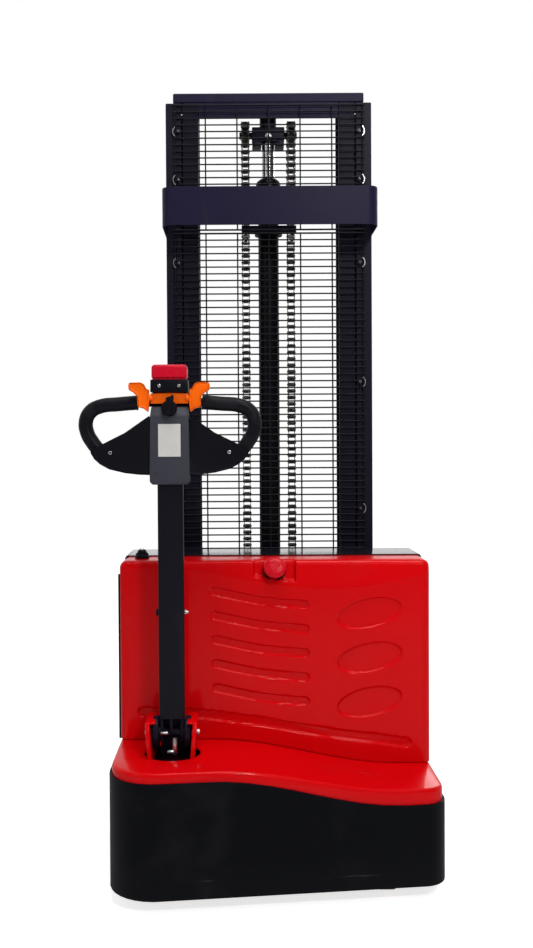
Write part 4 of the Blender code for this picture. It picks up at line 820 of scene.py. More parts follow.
def addOutline(bm, points, near, far, rounding, steps=2, sink=0.0):
    # a flat shape across X and Z, drawn out along Y and rounded all round
    made = [bm.verts.new((x, near, z)) for x, z in points]
    flat = bmesh.ops.contextual_create(bm, geom=made)["faces"]
    drawn = bmesh.ops.extrude_face_region(bm, geom=flat, use_keep_orig=True)["geom"]
    back = [v for v in drawn if isinstance(v, bmesh.types.BMVert)]
    bmesh.ops.translate(bm, vec=(0, far - near, 0), verts=back)
    if sink:
        bmesh.ops.inset_region(bm, faces=flat, thickness=rounding * 1.6, depth=0)
        bmesh.ops.inset_region(bm, faces=flat, thickness=rounding * 0.3, depth=-sink)
    rims = [e for v in made + back for e in v.link_edges
            if len(e.link_faces) == 2 and e.calc_face_angle(0) > 0.3]
    bmesh.ops.bevel(bm, geom=list(set(rims)), offset=rounding, affect="EDGES", segments=steps,
                    profile=0.5, material=-1)


def addRising(bm, levels, rounding, steps=3):
    # a block drawn upwards through levels of (height, half width, front, back)
    corners = bmesh.ops.create_grid(bm, x_segments=1, y_segments=1, size=1)["verts"]
    signs = [(v.co.x > 0, v.co.y > 0) for v in corners]
    face = corners[0].link_faces[0]
    grown = list(corners)
    for count, (height, half, front, back) in enumerate(levels):
        if count:
            made = bmesh.ops.extrude_face_region(bm, geom=[face], use_keep_orig=count == 1)["geom"]
            if count > 1 and face.is_valid:
                bmesh.ops.delete(bm, geom=[face], context="FACES_ONLY")
            face = [f for f in made if isinstance(f, bmesh.types.BMFace)][0]
            corners = list(face.verts)
            grown += corners
            signs = [(v.co.x > 0, v.co.y > middle) for v in corners]
        middle = (front + back) / 2
        for v, (right, rear) in zip(corners, signs):
            v.co = Vector((half if right else -half, back if rear else front, height))
    bmesh.ops.recalc_face_normals(bm, faces=bm.faces)
    sharp = [e for e in {e for v in grown for e in v.link_edges}
             if len(e.link_faces) == 2 and e.calc_face_angle(0) > 0.35]
    bmesh.ops.bevel(bm, geom=sharp, offset=rounding, affect="EDGES", segments=steps, profile=0.5,
                    material=-1, clamp_overlap=True)


def bentTube(points, radius, sides=20):
    # a round tube through points, drawn as a smooth curve and made a mesh
    line = bpy.data.curves.new("line", "CURVE")
    line.dimensions = "3D"
    line.bevel_depth = radius
    line.bevel_resolution = sides // 4 - 1
    line.use_fill_caps = True
    line.resolution_u = 6
    spline = line.splines.new("BEZIER")
    spline.bezier_points.add(len(points) - 1)
    for knot, point in zip(spline.bezier_points, points):
        knot.co = point
        knot.handle_left_type = knot.handle_right_type = "AUTO"
    holder = bpy.data.objects.new("line", line)
    bpy.context.scene.collection.objects.link(holder)
    mesh = bpy.data.meshes.new_from_object(holder.evaluated_get(bpy.context.evaluated_depsgraph_get()))
    bm = bmesh.new()
    bm.from_mesh(mesh)
    bpy.data.objects.remove(holder)
    bpy.data.curves.remove(line)
    bpy.data.meshes.remove(mesh)
    bmesh.ops.remove_doubles(bm, verts=bm.verts, dist=0.00001)
    return bm


def mirrored(points, side):
    return [(side * x, z) for x, z in points]


frontCover = {"half": 0.0470, "low": -0.0068, "chamfer": 0.0070, "shoulder": 0.0220, "shoulderBack": 0.0120,
              "rounding": 0.0024, "labelHalf": 0.0268, "labelLow": 0.0606, "labelHigh": 0.1386}


def buildFrontCover():
    # a face with a sloping shoulder and cut lower corners, and a bare label on it
    half, low, front, back = frontCover["half"], frontCover["low"], headLow.y, headHigh.y
    top = headHigh.z - headLow.z - 0.0035
    bm = bmesh.new()
    addRising(bm, [(low, half - 0.0055, front + 0.005, back),
                   (low + frontCover["chamfer"], half + 0.0010, front + 0.0012, back),
                   (0.030, half + 0.0010, front, back),
                   (top - frontCover["shoulder"], half - 0.0008, front + 0.0005, back),
                   (top, half - 0.0030, front + frontCover["shoulderBack"], back)], frontCover["rounding"])
    pieceAt(headFoot, "headCover", bm, greyPlastic, "tiller", "grey_plastic", 32, "head_cover")
    half, low, high = frontCover["labelHalf"], frontCover["labelLow"], frontCover["labelHigh"]
    bm = bmesh.new()
    addOutline(bm, [(-half, low), (half, low), (half, high), (-half, high)], front - 0.0005, front + 0.0012,
               0.0002, 1)
    pieceAt(headFoot, "headLabel", bm, film, "tiller", "grey_plastic", 30)


handle = {"wing": [(0.0400, 0.1600), (0.0478, 0.1595), (0.0510, 0.1500), (0.0600, 0.1430), (0.1080, 0.1180),
                   (0.1660, 0.0893), (0.1826, 0.0815), (0.1905, 0.0775), (0.1895, 0.0690), (0.1810, 0.0550),
                   (0.1670, 0.0425), (0.1450, 0.0305), (0.1080, 0.0215), (0.0750, 0.0175), (0.0400, 0.0160)],
          "column": 0.041, "collarHalf": 0.0453, "collarLow": 0.2157, "collarHigh": 0.2450,
          "pocketDepth": 0.0100, "throttleStep": 0.0168, "hole": (-0.031, 0.020),
          "collarScrew": (0.0235, 0.2300), "wingScrew": (0.1428, 0.0707),
          "grip": [(0.0785, 0.1917), (0.1250, 0.1880), (0.1690, 0.1830), (0.1920, 0.1710), (0.2040, 0.1480),
                   (0.2010, 0.1190), (0.1880, 0.0950), (0.1740, 0.0770)], "gripRadius": 0.0175}
button = {"half": 0.0428, "rounding": 0.0085, "foot": 0.0026}
buttonLow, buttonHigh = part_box("reverse_button")


def buildHandle():
    # wings and column, with a collar that holds the reversing button in a pocket
    column, high = handle["column"], handle["collarHigh"]
    bm = bmesh.new()
    for side in (-1, 1):
        wing = mirrored(handle["wing"], side)
        addOutline(bm, wing, wingFront + 0.004, wingBack, 0.0045, 3)
        addOutline(bm, wing, wingFront + 0.0015, wingFront + 0.012, 0.0016, 2, 0.0010)
    # the column steps back to leave the throttle its swing
    front, stepped = wingFront + 0.006, wingFront + handle["throttleStep"]
    addRising(bm, [(0, column, front, wingBack), (0.1800, column, front, wingBack),
                   (0.1815, column, stepped, wingBack), (0.2200, column, stepped, wingBack)], 0.0010, 2)
    collar = bmesh.new()
    addRising(collar, [(handle["collarLow"], handle["collarHalf"], buttonLow.y - 0.0018, wingBack + 0.0005),
                       (high, button["half"] + 0.0019, buttonLow.y - 0.0020, buttonHigh.y + 0.0020)], 0.0009, 2)
    rim = [f for f in collar.faces if f.normal.z > 0.99 and f.calc_center_median().z > high - 0.001]
    bmesh.ops.inset_region(collar, faces=rim, thickness=0.0006, depth=0)
    well = bmesh.ops.extrude_face_region(collar, geom=rim)["geom"]
    bmesh.ops.delete(collar, geom=rim, context="FACES_ONLY")
    bmesh.ops.translate(collar, vec=(0, 0, -handle["pocketDepth"]),
                        verts=[v for v in well if isinstance(v, bmesh.types.BMVert)])
    mergeInto(bm, collar)
    barZ = handle["grip"][0][1]
    for side in (-1, 1):
        addRod(bm, (side * 0.030, barY + 0.0015, barZ), (side * 0.082, barY + 0.0015, barZ), 0.0103, 24)
    pieceAt(headFoot, "handleHousing", bm, blackPlastic, "tiller", "black_plastic", 34, "handle_housing")
    # screws in the collar and in the wings, and the small hole low in the cover
    bm = bmesh.new()
    for side in (-1, 1):
        across, up = handle["collarScrew"]
        addSocketHead(bm, (side * across, buttonLow.y - 0.0021, up), (0, -1, 0), 0.0040, 0.0022)
        across, up = handle["wingScrew"]
        addSocketHead(bm, (side * across, wingFront + 0.0024, up), (0, -1, 0), 0.0046, 0.0022)
    pieceAt(headFoot, "headScrews", bm, zinc, "tiller", "steel", 30)
    across, up = handle["hole"]
    bm = bmesh.new()
    addTurned(bm, [(0, -0.0010), (0.0011, -0.0008), (0.0013, 0.0003), (0.0018, 0.0003), (0.0018, -0.0014),
                   (0, -0.0014)], place(across, headLow.y, up, (0, -1, 0)), 14)
    pieceAt(headFoot, "coverHole", bm, blackPlastic, "tiller", "black_plastic", 30)
    for word, side in (("left", -1), ("right", 1)):
        line = [(side * across, barY, up) for across, up in handle["grip"]]
        bm = bentTube(line, handle["gripRadius"], 32)
        addTurned(bm, [(0.0127, -0.0006), (0.0178, -0.0006), (0.0186, 0.0006), (0.0186, 0.0022),
                       (0.0176, 0.0036), (0.0127, 0.0036), (0.0127, -0.0006)],
                  place(*line[0], (side, 0, -0.05)), 32)
        pieceAt(headFoot, "grip_" + word + "_sleeve", bm, rubber, "tiller", "grip_rubber", 40, "grip_" + word)


def buildReverseCap():
    half, foot, seat = button["half"], button["foot"], handle["collarHigh"]
    front, back, high = buttonLow.y, buttonHigh.y, buttonHigh.z - headLow.z
    bm = bmesh.new()
    made = addBlock(bm, (-half, front, seat + 0.0058), (half, back, high - 0.0020))
    tall = [e for e in {e for v in made for e in v.link_edges} if max(v.co.z for v in e.verts) > high - 0.01]
    bmesh.ops.bevel(bm, geom=tall, offset=button["rounding"], affect="EDGES", segments=6, profile=0.5,
                    material=-1)
    addRising(bm, [(seat - 0.0010, half - foot, front + 0.0034, back - foot),
                   (seat + 0.0078, half - foot + 0.0004, front + 0.0032, back - foot + 0.0002)], 0.0008, 2)
    pieceAt(headFoot, "reverseCap", bm, redPlastic, "reverse_button", "red_plastic", 40, "reverse_button")


throttle = {"plateHalf": 0.0455, "plateLow": 0.1879, "plateHigh": 0.2138, "setBack": 0.0070, "crown": 0.0014,
            "paddle": [(0.0952, 0.2379), (0.0686, 0.2388), (0.0606, 0.2347), (0.0548, 0.2231), (0.0481, 0.2212),
                       (0.0481, 0.1862), (0.0507, 0.1673), (0.0606, 0.1753), (0.0756, 0.1799), (0.0763, 0.2050),
                       (0.0857, 0.2140), (0.0965, 0.2205), (0.0978, 0.2316)]}


def buildThrottle():
    # a middle plate, set back so that it clears the knob as it turns, with a hooked paddle at each side
    low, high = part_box("throttle")
    half, plateLow, plateHigh = throttle["plateHalf"], throttle["plateLow"], throttle["plateHigh"]
    crown = [(t * half, plateHigh - throttle["crown"] * t * t) for t in (-1, -0.6, -0.2, 0.2, 0.6, 1)]
    bm = bmesh.new()
    addOutline(bm, crown + [(half, plateLow), (-half, plateLow)], low.y + throttle["setBack"], high.y - 0.0010,
               0.0012)
    middle = ((low.y + high.y) / 2, (plateLow + plateHigh) / 2)
    for side in (-1, 1):
        addOutline(bm, mirrored(throttle["paddle"], side), low.y - 0.0015, high.y + 0.0010, 0.0026, 3, 0.0007)
        addRod(bm, (side * 0.040, *middle), (side * 0.052, *middle), 0.0075, 20)
    pieceAt(headFoot, "throttlePaddles", bm, orangePlastic, "throttle", "orange_plastic", 36, "throttle")


knob = {"rise": 0.0045, "ridges": 20, "bladeTurn": 8,    # the drum stands a little above its spindle
        "drum": [(0, 0.0118), (0.0120, 0.0118), (0.0162, 0.0108), (0.0180, 0.0080), (0.0189, 0.0035),
                 (0.0194, 0.0010), (0.0194, -0.0006), (0, -0.0006)],
        "blade": [(-0.0070, -0.0165), (0.0060, -0.0170), (0.0085, 0.0140), (0.0080, 0.0310), (0.0040, 0.0335),
                  (0.0008, 0.0285), (-0.0100, 0.0235), (-0.0095, 0.0140)]}


def buildKnob():
    # a ribbed drum with a pointer blade
    low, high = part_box("lift_knob")
    centre = Vector((0, high.y, (low.z + high.z) / 2 + knob["rise"] - headLow.z))
    bm = bmesh.new()
    addTurned(bm, knob["drum"], place(*centre, (0, -1, 0)), 40)
    for i in range(knob["ridges"]):
        angle = math.tau * i / knob["ridges"]
        outward = Vector((math.cos(angle), 0, math.sin(angle)))
        addRod(bm, centre + outward * 0.0183, centre + outward * 0.0179 + Vector((0, -0.0085, 0)), 0.0009, 6)
    blade = bmesh.new()
    addOutline(blade, knob["blade"], -0.0165, -0.0032, 0.0014, 2)
    bmesh.ops.rotate(blade, verts=blade.verts, cent=(0, 0, 0),
                     matrix=Matrix.Rotation(math.radians(knob["bladeTurn"]), 3, "Y"))
    bmesh.ops.translate(blade, verts=blade.verts, vec=centre)
    mergeInto(bm, blade)
    pieceAt(headFoot, "liftKnob", bm, blackPlastic, "lift_knob", "black_plastic", 34, "lift_knob")


buildFrontCover()
buildHandle()
buildReverseCap()
buildThrottle()
buildKnob()
print("tiller head built")


# the tiller's foot, drawn about the middle of its pivot pin
pinLow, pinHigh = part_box("tiller_pivot_pin")
pivot = Vector((headFoot.x, (pinLow.y + pinHigh.y) / 2, (pinLow.z + pinHigh.z) / 2))
foot = {"ear": 0.0100, "earLean": 4.5, "lip": 0.0240, "hub": 0.0400, "hubGap": 0.0285, "hubWide": 0.0160,
        "armFoot": 0.0370, "armCorner": 0.0055, "bolt": 0.2925, "springTurns": 5, "spring": 0.0165}


def buildEars():
    # two red ears with lips turned in at the top, and the black turntable below
    low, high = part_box("tiller_bracket")
    drop, rise, outer = low.z - pivot.z, high.z - pivot.z, high.x - pivot.x
    rear = [(0.058, drop + 0.006), (0.062, -0.010), (0.058, 0.016), (0.048, rise + 0.001)]
    bm = bmesh.new()
    for side in (-1, 1):
        ear = bmesh.new()
        addOutline(ear, rear + mirrored(reversed(rear), -1), -foot["ear"] / 2, foot["ear"] / 2, 0.0022, 2)
        for cent, angle, axis in (((0, 0, 0), 90, "Z"), ((0, 0, rise), side * foot["earLean"], "Y")):
            turn = Matrix.Rotation(math.radians(angle), 3, axis)
            bmesh.ops.rotate(ear, verts=ear.verts, cent=cent, matrix=turn)
        bmesh.ops.translate(ear, verts=ear.verts, vec=(side * (outer - foot["ear"] / 2), 0, 0))
        mergeInto(bm, ear)
        a, b = sorted((side * (outer - 0.001), side * (outer - foot["lip"])))
        addBlock(bm, (a, -0.047, rise - 0.0045), (b, 0.047, rise + 0.0012), 0.0018, 3)
    pieceAt(pivot, "tillerEars", bm, red, "steering", "red_paint", 36, "tiller_bracket")
    bm = bmesh.new()
    addTurned(bm, [(0, 0.004), (0.040, 0.004), (0.046, 0.002), (0.058, 0.002), (0.0605, 0.001),
                   (0.0610, -0.004), (0, -0.004)], Matrix.Translation((0, 0, drop)), 48)
    pieceAt(pivot, "turntable", bm, black, "steering", "black_paint", 34)


def buildHubs():
    # stepped discs on the pin, and the yoke that carries the arm
    hub, wide, armFoot = foot["hub"], foot["hubWide"], foot["armFoot"]
    bm = bmesh.new()
    for side in (-1, 1):
        addTurned(bm, [(0.0082, -0.001), (0.0200, -0.001), (0.0215, 0.003), (hub - 0.003, 0.003), (hub, 0.0055),
                       (hub, wide), (hub - 0.0030, wide + 0.0025), (0.0260, wide + 0.0030),
                       (0.0240, wide + 0.0010), (0.0082, wide + 0.0010), (0.0082, -0.001)],
                  place(side * foot["hubGap"], 0, 0, (side, 0, 0)), 44)
    for a, b in ((-0.0300, -0.0200), (0.0200, 0.0300)):
        addBlock(bm, (a, -0.016, -0.020), (b, 0.016, armFoot + 0.004), 0.003)
    addRod(bm, (-0.030, 0, 0), (0.030, 0, 0), 0.0110, 28)
    addBlock(bm, (-0.0290, 0.012, -0.061), (0.0290, 0.024, armFoot + 0.002), 0.003)
    addBlock(bm, (-0.0050, -0.020, 0.004), (0.0030, 0.014, armFoot + 0.002), 0.002)
    pieceAt(pivot, "tillerHubs", bm, black, "tiller", "black_paint", 34)


def buildArm():
    # a rounded box tube with its cross bolt, and the pins of the lock at its foot
    low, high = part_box("tiller_arm")
    halfX, halfY = (high.x - low.x) / 2 - 0.0003, (high.y - low.y) / 2
    bm = bmesh.new()
    made = addBlock(bm, (-halfX, -halfY, foot["armFoot"]), (halfX, halfY, high.z - pivot.z))
    edges = [e for e in {e for v in made for e in v.link_edges} if abs(e.verts[0].co.z - e.verts[1].co.z) > 0.1]
    bmesh.ops.bevel(bm, geom=edges, offset=foot["armCorner"], affect="EDGES", segments=5, profile=0.5,
                    material=-1)
    pieceAt(pivot, "tillerTube", bm, armBlack, "tiller", "black_paint", 30, "tiller_arm")
    bm = bmesh.new()
    addRod(bm, (-halfX - 0.0065, 0, foot["bolt"]), (-halfX, 0, foot["bolt"]), 0.0085, 24, rounding=0.0015)
    pieceAt(pivot, "crossBolt", bm, blackPlastic, "tiller", "black_plastic", 34)
    bm = bmesh.new()
    addHexHead(bm, (halfX, 0, foot["bolt"]), (1, 0, 0), 0.0135, 0.0060)
    for start, end, radius, sides, rounding in [
            ((halfX, 0, foot["bolt"]), (halfX + 0.0105, 0, foot["bolt"]), 0.0036, 16, 0.0008),
            ((-0.0270, -0.024, 0.004), (-0.0090, -0.024, 0.004), 0.0040, 16, 0.0010),
            ((0.0080, -0.028, -0.046), (0.0080, -0.028, -0.006), 0.0068, 18, 0.0012),
            ((-0.0100, -0.030, -0.040), (0.0070, -0.030, -0.040), 0.0048, 14, 0.0008)]:
        addRod(bm, start, end, radius, sides, rounding=rounding)
    pieceAt(pivot, "lockPins", bm, zinc, "tiller", "steel", 34)


def buildPin():
    # the pivot pin with a domed head at each end, and the return spring coiled round it
    left, right = pinLow.x - pivot.x, pinHigh.x - pivot.x
    bm = bmesh.new()
    for at, side in ((right - 0.0050, 1), (left + 0.0050, -1)):
        addTurned(bm, [(0, 0.0), (0.0066, 0.0), (0.0078, 0.0012), (0.0078, 0.0040), (0.0074, 0.0048),
                       (0, 0.0052)], place(at, 0, 0, (side, 0, 0)), 22)
    addRod(bm, (left + 0.004, 0, 0), (right - 0.004, 0, 0), 0.0076, 26)
    pieceAt(pivot, "pivotPin", bm, zinc, "steering", "steel", 34, "tiller_pivot_pin")
    low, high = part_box("tiller_spring")
    steps = foot["springTurns"] * 10
    coil = [(low.x + (high.x - low.x) * i / steps, pivot.y + foot["spring"] * math.cos(math.tau * i / 10),
             pivot.z + foot["spring"] * math.sin(math.tau * i / 10)) for i in range(steps + 1)]
    piece("returnSpring", bentTube(coil, 0.0013, 8), darkSteel, "tiller", "steel", 50, "tiller_spring")


armBlack = blackPaint("armBlack", (0.0062, 0.0058, 0.0105, 1), 0.30)
buildEars()
buildHubs()
buildArm()
buildPin()
print("tiller foot built")


# emergency stop, drawn about the middle of its cap
stop = {"cap": 0.0285, "tilt": (0, -0.90631, 0.42262), "ring": 0.0298, "marks": (0.3, 2.4, 4.5)}


def buildStop():
    low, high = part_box("estop_button")
    centre = (low + high) / 2
    cap, ring, turned = stop["cap"], stop["ring"], turnTo(stop["tilt"])
    bm = bmesh.new()
    addTurned(bm, [(0, 0.0086), (0.0105, 0.0086), (0.0110, 0.0078), (0.0122, 0.0078), (0.0127, 0.0085),
                   (0.0185, 0.0078), (0.0245, 0.0058), (0.0275, 0.0030), (cap, 0.0000), (0.0276, -0.0035),
                   (0.0215, -0.0100), (0.0180, -0.0120), (0, -0.0120)], turned, 48)
    pieceAt(centre, "stopCap", bm, stopRed, "estop_button", "red_plastic", 32, "estop_button")
    bm = bmesh.new()
    for turn in stop["marks"]:
        addTurned(bm, [(0.0, 0.0096), (0.0011, 0.0093), (0.0014, 0.0084), (0, 0.0080)],
                  turned @ Matrix.Rotation(turn, 4, "Z") @ Matrix.Translation((0.0165, 0, -0.0006)), 8)
    pieceAt(centre, "stopMarks", bm, stopRed, "estop_button", "red_plastic", 40)
    # a dished ring on the cover, with room for the cap to sink, and the neck behind it
    bm = bmesh.new()
    addTurned(bm, [(0.0, -0.0030), (0.0240, -0.0030), (0.0262, 0.0058), (ring - 0.0025, 0.0065),
                   (ring - 0.0008, 0.0050), (ring, 0.0025), (ring, -0.0040), (0.0, -0.0040)],
              place(0, coverLow.y + cover["pocketDepth"] - centre.y, -0.0065, (0, -1, 0.10)), 44)
    addTurned(bm, [(0, -0.0185), (0.0160, -0.0185), (0.0170, -0.0200), (0.0170, -0.0260), (0, -0.0260)],
              turned, 36)
    pieceAt(centre, "stopRing", bm, blackPlastic, "chassis", "black_plastic", 34, "estop_base")


# key switch: a ridged dome with a mark, and the plated barrel that a key turns
keyDome = {"profile": [(0, 0.0205), (0.0076, 0.0205), (0.0084, 0.0215), (0.0094, 0.0210), (0.0125, 0.0165),
                       (0.0140, 0.0110), (0.0170, 0.0085), (0.0185, 0.0055), (0.0190, 0.0), (0, 0.0)],
           "ridges": 12, "ridgeRing": 0.0150, "slot": (0.0008, 0.0036),
           "barrel": [(0, 0.0200), (0.0062, 0.0200), (0.0072, 0.0208), (0.0074, 0.0238), (0.0066, 0.0248),
                      (0.0052, 0.0248), (0.0046, 0.0240), (0, 0.0240)]}


def buildKey():
    low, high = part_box("key_switch")
    base = Vector(((low.x + high.x) / 2, (low.y + high.y) / 2, low.z))
    bm = bmesh.new()
    addTurned(bm, keyDome["profile"], Matrix(), 36)
    for i in range(keyDome["ridges"]):
        turn = math.tau * i / keyDome["ridges"]
        spot = Vector((math.cos(turn) * keyDome["ridgeRing"], math.sin(turn) * keyDome["ridgeRing"], 0.0070))
        addRod(bm, spot, spot + Vector((0, 0, 0.0060)), 0.0020, 8, 0.0012)
    pieceAt(base, "keySwitch", bm, blackPlastic, "chassis", "black_plastic", 34, "key_switch")
    bm = bmesh.new()
    addTurned(bm, keyDome["barrel"], Matrix(), 30)
    pieceAt(base, "keyBarrel", bm, zinc, "key", "steel", 34, "key")
    across, along = keyDome["slot"]
    bm = bmesh.new()
    addBlock(bm, (-across, -along, 0.0236), (across, along, 0.0244), 0.0003)
    pieceAt(base, "keySlot", bm, blackPlastic, "key", "black_plastic", 34)
    bm = bmesh.new()
    addBlock(bm, (-0.0016, -0.0090, 0.0085), (0.0016, -0.0082, 0.0190), 0.0004)
    bmesh.ops.rotate(bm, verts=bm.verts, cent=(0, -0.0150, 0.0100),
                     matrix=Matrix.Rotation(math.radians(-28), 3, "X"))
    pieceAt(base, "keyMark", bm, zinc, "chassis", "steel", 34)


stopRed = mouldedPlastic("stopRed", (0.62, 0.002, 0.012, 1), (0.50, 0.002, 0.010, 1), 0.20, 0.16)
buildStop()
buildKey()
print("controls built")


# deck, skirt, housing and a thin black strip at each side of the cover, painted shade for the cover's shaded
# side edge
body = {"strip": 0.0078, "stripLow": 0.318, "stripHigh": 0.742}


def buildShadeStrips():
    # painted shade: a black strip at each side of the cover, wider at the left, stands in for the cover's side
    # edge in shadow
    bm = bmesh.new()
    for side in (-1, 1):
        edge = coverLow.x if side < 0 else coverHigh.x
        a, b = sorted((edge - side * 0.0010, edge + side * (body["strip"] if side < 0 else body["strip"] / 2)))
        addBlock(bm, (a, coverLow.y + 0.040, body["stripLow"]), (b, coverLow.y + 0.052, body["stripHigh"]),
                 0.0012, 2)
    piece("shadeEdgeStrips", bm, blackPlastic, "chassis", "black_plastic", 34)


smoothCopy("deck_cover", red, "red_paint", 0.0012, 50)
smoothCopy("skirt", skirtFinish, "skirt_black", 0.0012, 50)


def buildHousing():
    # the box behind the cover, with a glossy lid let in level with the cover's top
    bm = bmesh.new()
    bm.from_mesh(nodes["rear_housing"].data)
    bmesh.ops.remove_doubles(bm, verts=bm.verts, dist=0.00002)
    for v in bm.verts:
        if v.co.z > coverHigh.z:
            v.co.z = coverHigh.z + (v.co.z - coverHigh.z) * 0.25
    bmesh.ops.dissolve_limit(bm, angle_limit=0.002, verts=bm.verts, edges=bm.edges, delimit=set())
    made = piece("rearHousing", bm, housingBlack, "chassis", "black_paint", 38, "rear_housing")
    soften = made.modifiers.new("soften", "BEVEL")
    soften.width, soften.segments, soften.limit_method = 0.0040, 3, "ANGLE"
    soften.angle_limit = math.radians(38)


housingBlack = blackPaint("housingBlack", (0.0120, 0.0105, 0.0150, 1), 0.07)
buildHousing()
buildShadeStrips()
print("body built")


# running gear, forks, carriage and what stands behind the cover
for node, finish, slotName, edge in [
        ("base_frame", black, "black_paint", 0.0022), ("leg_left", black, "black_paint", 0.0035),
        ("leg_right", black, "black_paint", 0.0035), ("fork_left", forkPaint, "black_paint", 0.0030),
        ("fork_right", forkPaint, "black_paint", 0.0030), ("carriage_frame", black, "black_paint", 0.0028),
        ("drive_unit", black, "black_paint", 0.0025), ("caster_fork", black, "black_paint", 0.0018),
        ("battery", blackPlastic, "battery_case", 0.0050),
        ("hydraulic_tank", blackPlastic, "black_plastic", 0.0060), ("pump_motor", darkSteel, "steel", 0.0025),
        ("drive_controller", blackPlastic, "black_plastic", 0.0025)]:
    smoothCopy(node, finish, slotName, edge)


def buildWheel(node, tyreFinish, tyreSlot, hubFinish, grooves, core):
    # a tread with rounded shoulders on a stepped hub, and a bearing seat at each side
    low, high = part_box(node)
    centre = (low + high) / 2
    half, rim = (high.x - low.x) / 2, (high.z - low.z) / 2
    bore = min((v.co.yz - centre.yz).length for v in nodes[node].data.vertices)
    inner = max(rim * core, bore + 0.004)
    axle = place(*centre, (1, 0, 0))
    shoulder = min(0.006, half * 0.25)
    profile = [(inner, -half), (rim - shoulder, -half), (rim - shoulder * 0.3, -half + shoulder * 0.3),
               (rim, -half + shoulder)]
    for i in range(grooves):
        at = -half + shoulder + (2 * half - 2 * shoulder) * (i + 1) / (grooves + 1)
        profile += [(rim, at - 0.0012), (rim - 0.0008, at - 0.0006), (rim - 0.0008, at + 0.0006),
                    (rim, at + 0.0012)]
    profile += [(rim, half - shoulder), (rim - shoulder * 0.3, half - shoulder * 0.3), (rim - shoulder, half),
                (inner, half), (inner, -half)]
    bm = bmesh.new()
    addTurned(bm, profile, axle, 64)
    piece(node + "_tread", bm, tyreFinish, bodyOf(node), tyreSlot, 30, node)
    seat = max(bore + 0.003, inner * 0.55)
    sunk = half * 0.18
    edge = [(bore + 0.0001, -half + 0.001), (seat, -half + 0.001), (seat + 0.002, -half + sunk),
            (inner - 0.003, -half + sunk), (inner - 0.0005, -half + 0.0008), (inner + 0.0004, -half + 0.0014)]
    profile = edge + [(radius, -height) for radius, height in reversed(edge)] + [edge[0]]
    bm = bmesh.new()
    addTurned(bm, profile, axle, 48)
    ring = (seat + inner) / 2
    # bolts where the hub is wide enough for them
    for side in (-1, 1) if inner - seat > 0.014 else ():
        for i in range(5):
            turn = math.tau * i / 5
            spot = axle @ Vector((ring * math.cos(turn), ring * math.sin(turn), side * (half - sunk)))
            addHexHead(bm, spot, (side, 0, 0), min(0.010, (inner - seat) * 0.5), 0.0035)
    piece(node + "_hub", bm, hubFinish, bodyOf(node), "steel", 32)


for node, tread, grooves, core in [("load_roller_left", "polyurethane", 0, 0.55),
                                   ("load_roller_right", "polyurethane", 0, 0.55),
                                   ("drive_wheel", "polyurethane", 3, 0.72),
                                   ("caster_wheel", "polyurethane", 0, 0.66),
                                   ("mast_roller_left", "steel", 0, 0.70),
                                   ("mast_roller_right", "steel", 0, 0.70),
                                   ("carriage_roller_upper_left", "steel", 0, 0.70),
                                   ("carriage_roller_upper_right", "steel", 0, 0.70),
                                   ("carriage_roller_lower_left", "steel", 0, 0.70),
                                   ("carriage_roller_lower_right", "steel", 0, 0.70)]:
    buildWheel(node, rollerSteel if tread == "steel" else tyreUrethane, tread,
               zinc if "load" in node else darkSteel, grooves, core)
print("running gear built")
# screws, axle ends, seams and weld beads that finish the plain steelwork
fixing = {"panelScrew": 0.0052, "panelHeights": (0.34, 0.52), "axleHead": 0.0190, "casterNut": 0.0180,
          "carriageBolt": 0.0095, "lid": 0.030, "seam": 0.0016, "bead": 0.0038, "beadPitch": 0.0043,
          "beads": 13}
sides = ((-1, 0), (1, 1))       # which way a side faces, and which corner of a box it takes


def forkBack(node):
    # how far the upright's rear face stands behind the fork's lowest Y
    spots = [v.co.y for v in nodes[node].data.vertices if v.co.z > 0.40]
    return max(spots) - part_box(node)[0].y


def buildPanelScrews(low, high):
    bm = bmesh.new()
    for side, x in ((-1, low.x), (1, high.x)):
        for y in (low.y + 0.022, high.y - 0.022):
            for z in fixing["panelHeights"] + (high.z - 0.060,):
                addSocketHead(bm, (x, y, z), (side, 0, 0), fixing["panelScrew"], 0.0026)
    middle = (low.x + high.x) / 2
    for x in (low.x + 0.060, middle - 0.12, middle + 0.12, high.x - 0.060):
        addSocketHead(bm, (x, high.y, high.z - 0.045), (0, 1, 0), fixing["panelScrew"], 0.0026)
    piece("panelScrews", bm, zinc, "chassis", "steel", 34)


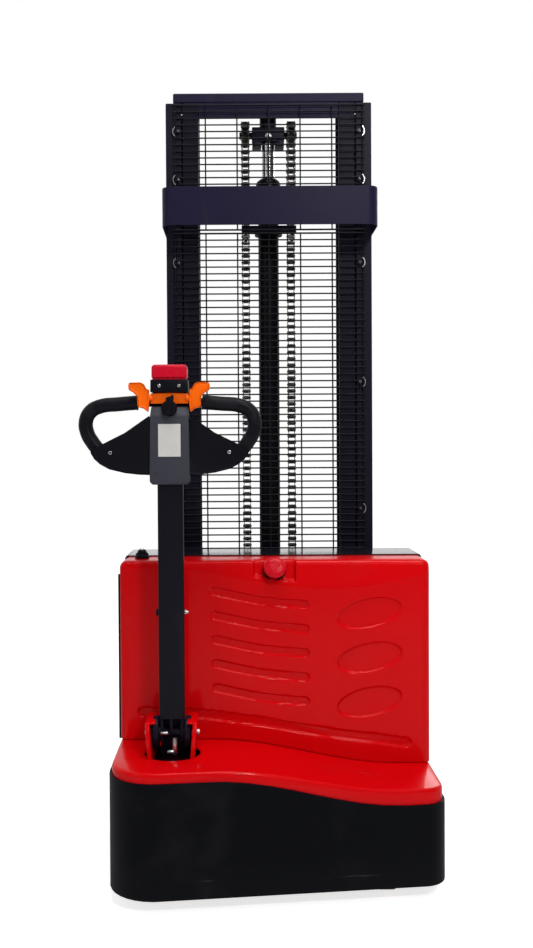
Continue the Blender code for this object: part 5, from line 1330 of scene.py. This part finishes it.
def buildLidSeam(low, high):
    bottom = high.z - fixing["lid"]
    top = bottom + fixing["seam"]
    bm = bmesh.new()
    for side, x in ((-1, low.x), (1, high.x)):
        a, b = sorted((x - side * 0.001, x + side * 0.0006))
        addBlock(bm, (a, low.y + 0.004, bottom), (b, high.y - 0.004, top), 0.0003, 1)
    addBlock(bm, (low.x + 0.004, high.y - 0.001, bottom), (high.x - 0.004, high.y + 0.0006, top), 0.0003, 1)
    piece("lidSeam", bm, cylinderBlack, "chassis", "black_paint", 34)


def buildBolts():
    low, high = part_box("carriage_frame")
    bm = bmesh.new()
    for node in ("fork_left", "fork_right"):
        left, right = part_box(node)
        for x in (left.x + 0.035, right.x - 0.035):
            for z in (high.z - 0.055, low.z + 0.075):
                addSocketHead(bm, (x, left.y + forkBack(node), z), (0, 1, 0), fixing["carriageBolt"], 0.0014)
    piece("carriageBolts", bm, zinc, "carriage", "steel", 34)


def addAxleHeads(bm, wheel, holder, width, height):
    centre = sum(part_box(wheel), Vector()) / 2
    for side, corner in sides:
        addHexHead(bm, (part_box(holder)[corner].x, centre.y, centre.z), (side, 0, 0), width, height)


def buildAxles():
    bm = bmesh.new()
    for word in ("left", "right"):
        addAxleHeads(bm, "load_roller_" + word, "leg_" + word, fixing["axleHead"], 0.0060)
    piece("axleEnds", bm, zinc, "chassis", "steel", 34)
    bm = bmesh.new()
    addAxleHeads(bm, "caster_wheel", "caster_fork", fixing["casterNut"], 0.0065)
    piece("casterNuts", bm, zinc, bodyOf("caster_fork"), "steel", 34)


def buildBeads():
    # weld beads where the lower cross piece meets the rails
    low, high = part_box("inner_lower_crossmember")
    bm = bmesh.new()
    for side, x in ((-1, low.x), (1, high.x)):
        for i in range(fixing["beads"]):
            spot = (x - side * 0.001, high.y + 0.001, low.z + 0.004 + i * fixing["beadPitch"])
            bmesh.ops.create_icosphere(bm, subdivisions=1, radius=fixing["bead"],
                                       matrix=Matrix.Translation(spot))
    piece("weldBeads", bm, black, "inner_mast", "black_paint", 60)


buildPanelScrews(*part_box("rear_housing"))
buildLidSeam(*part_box("rear_housing"))
buildBolts()
buildAxles()
buildBeads()
print("fixings built")
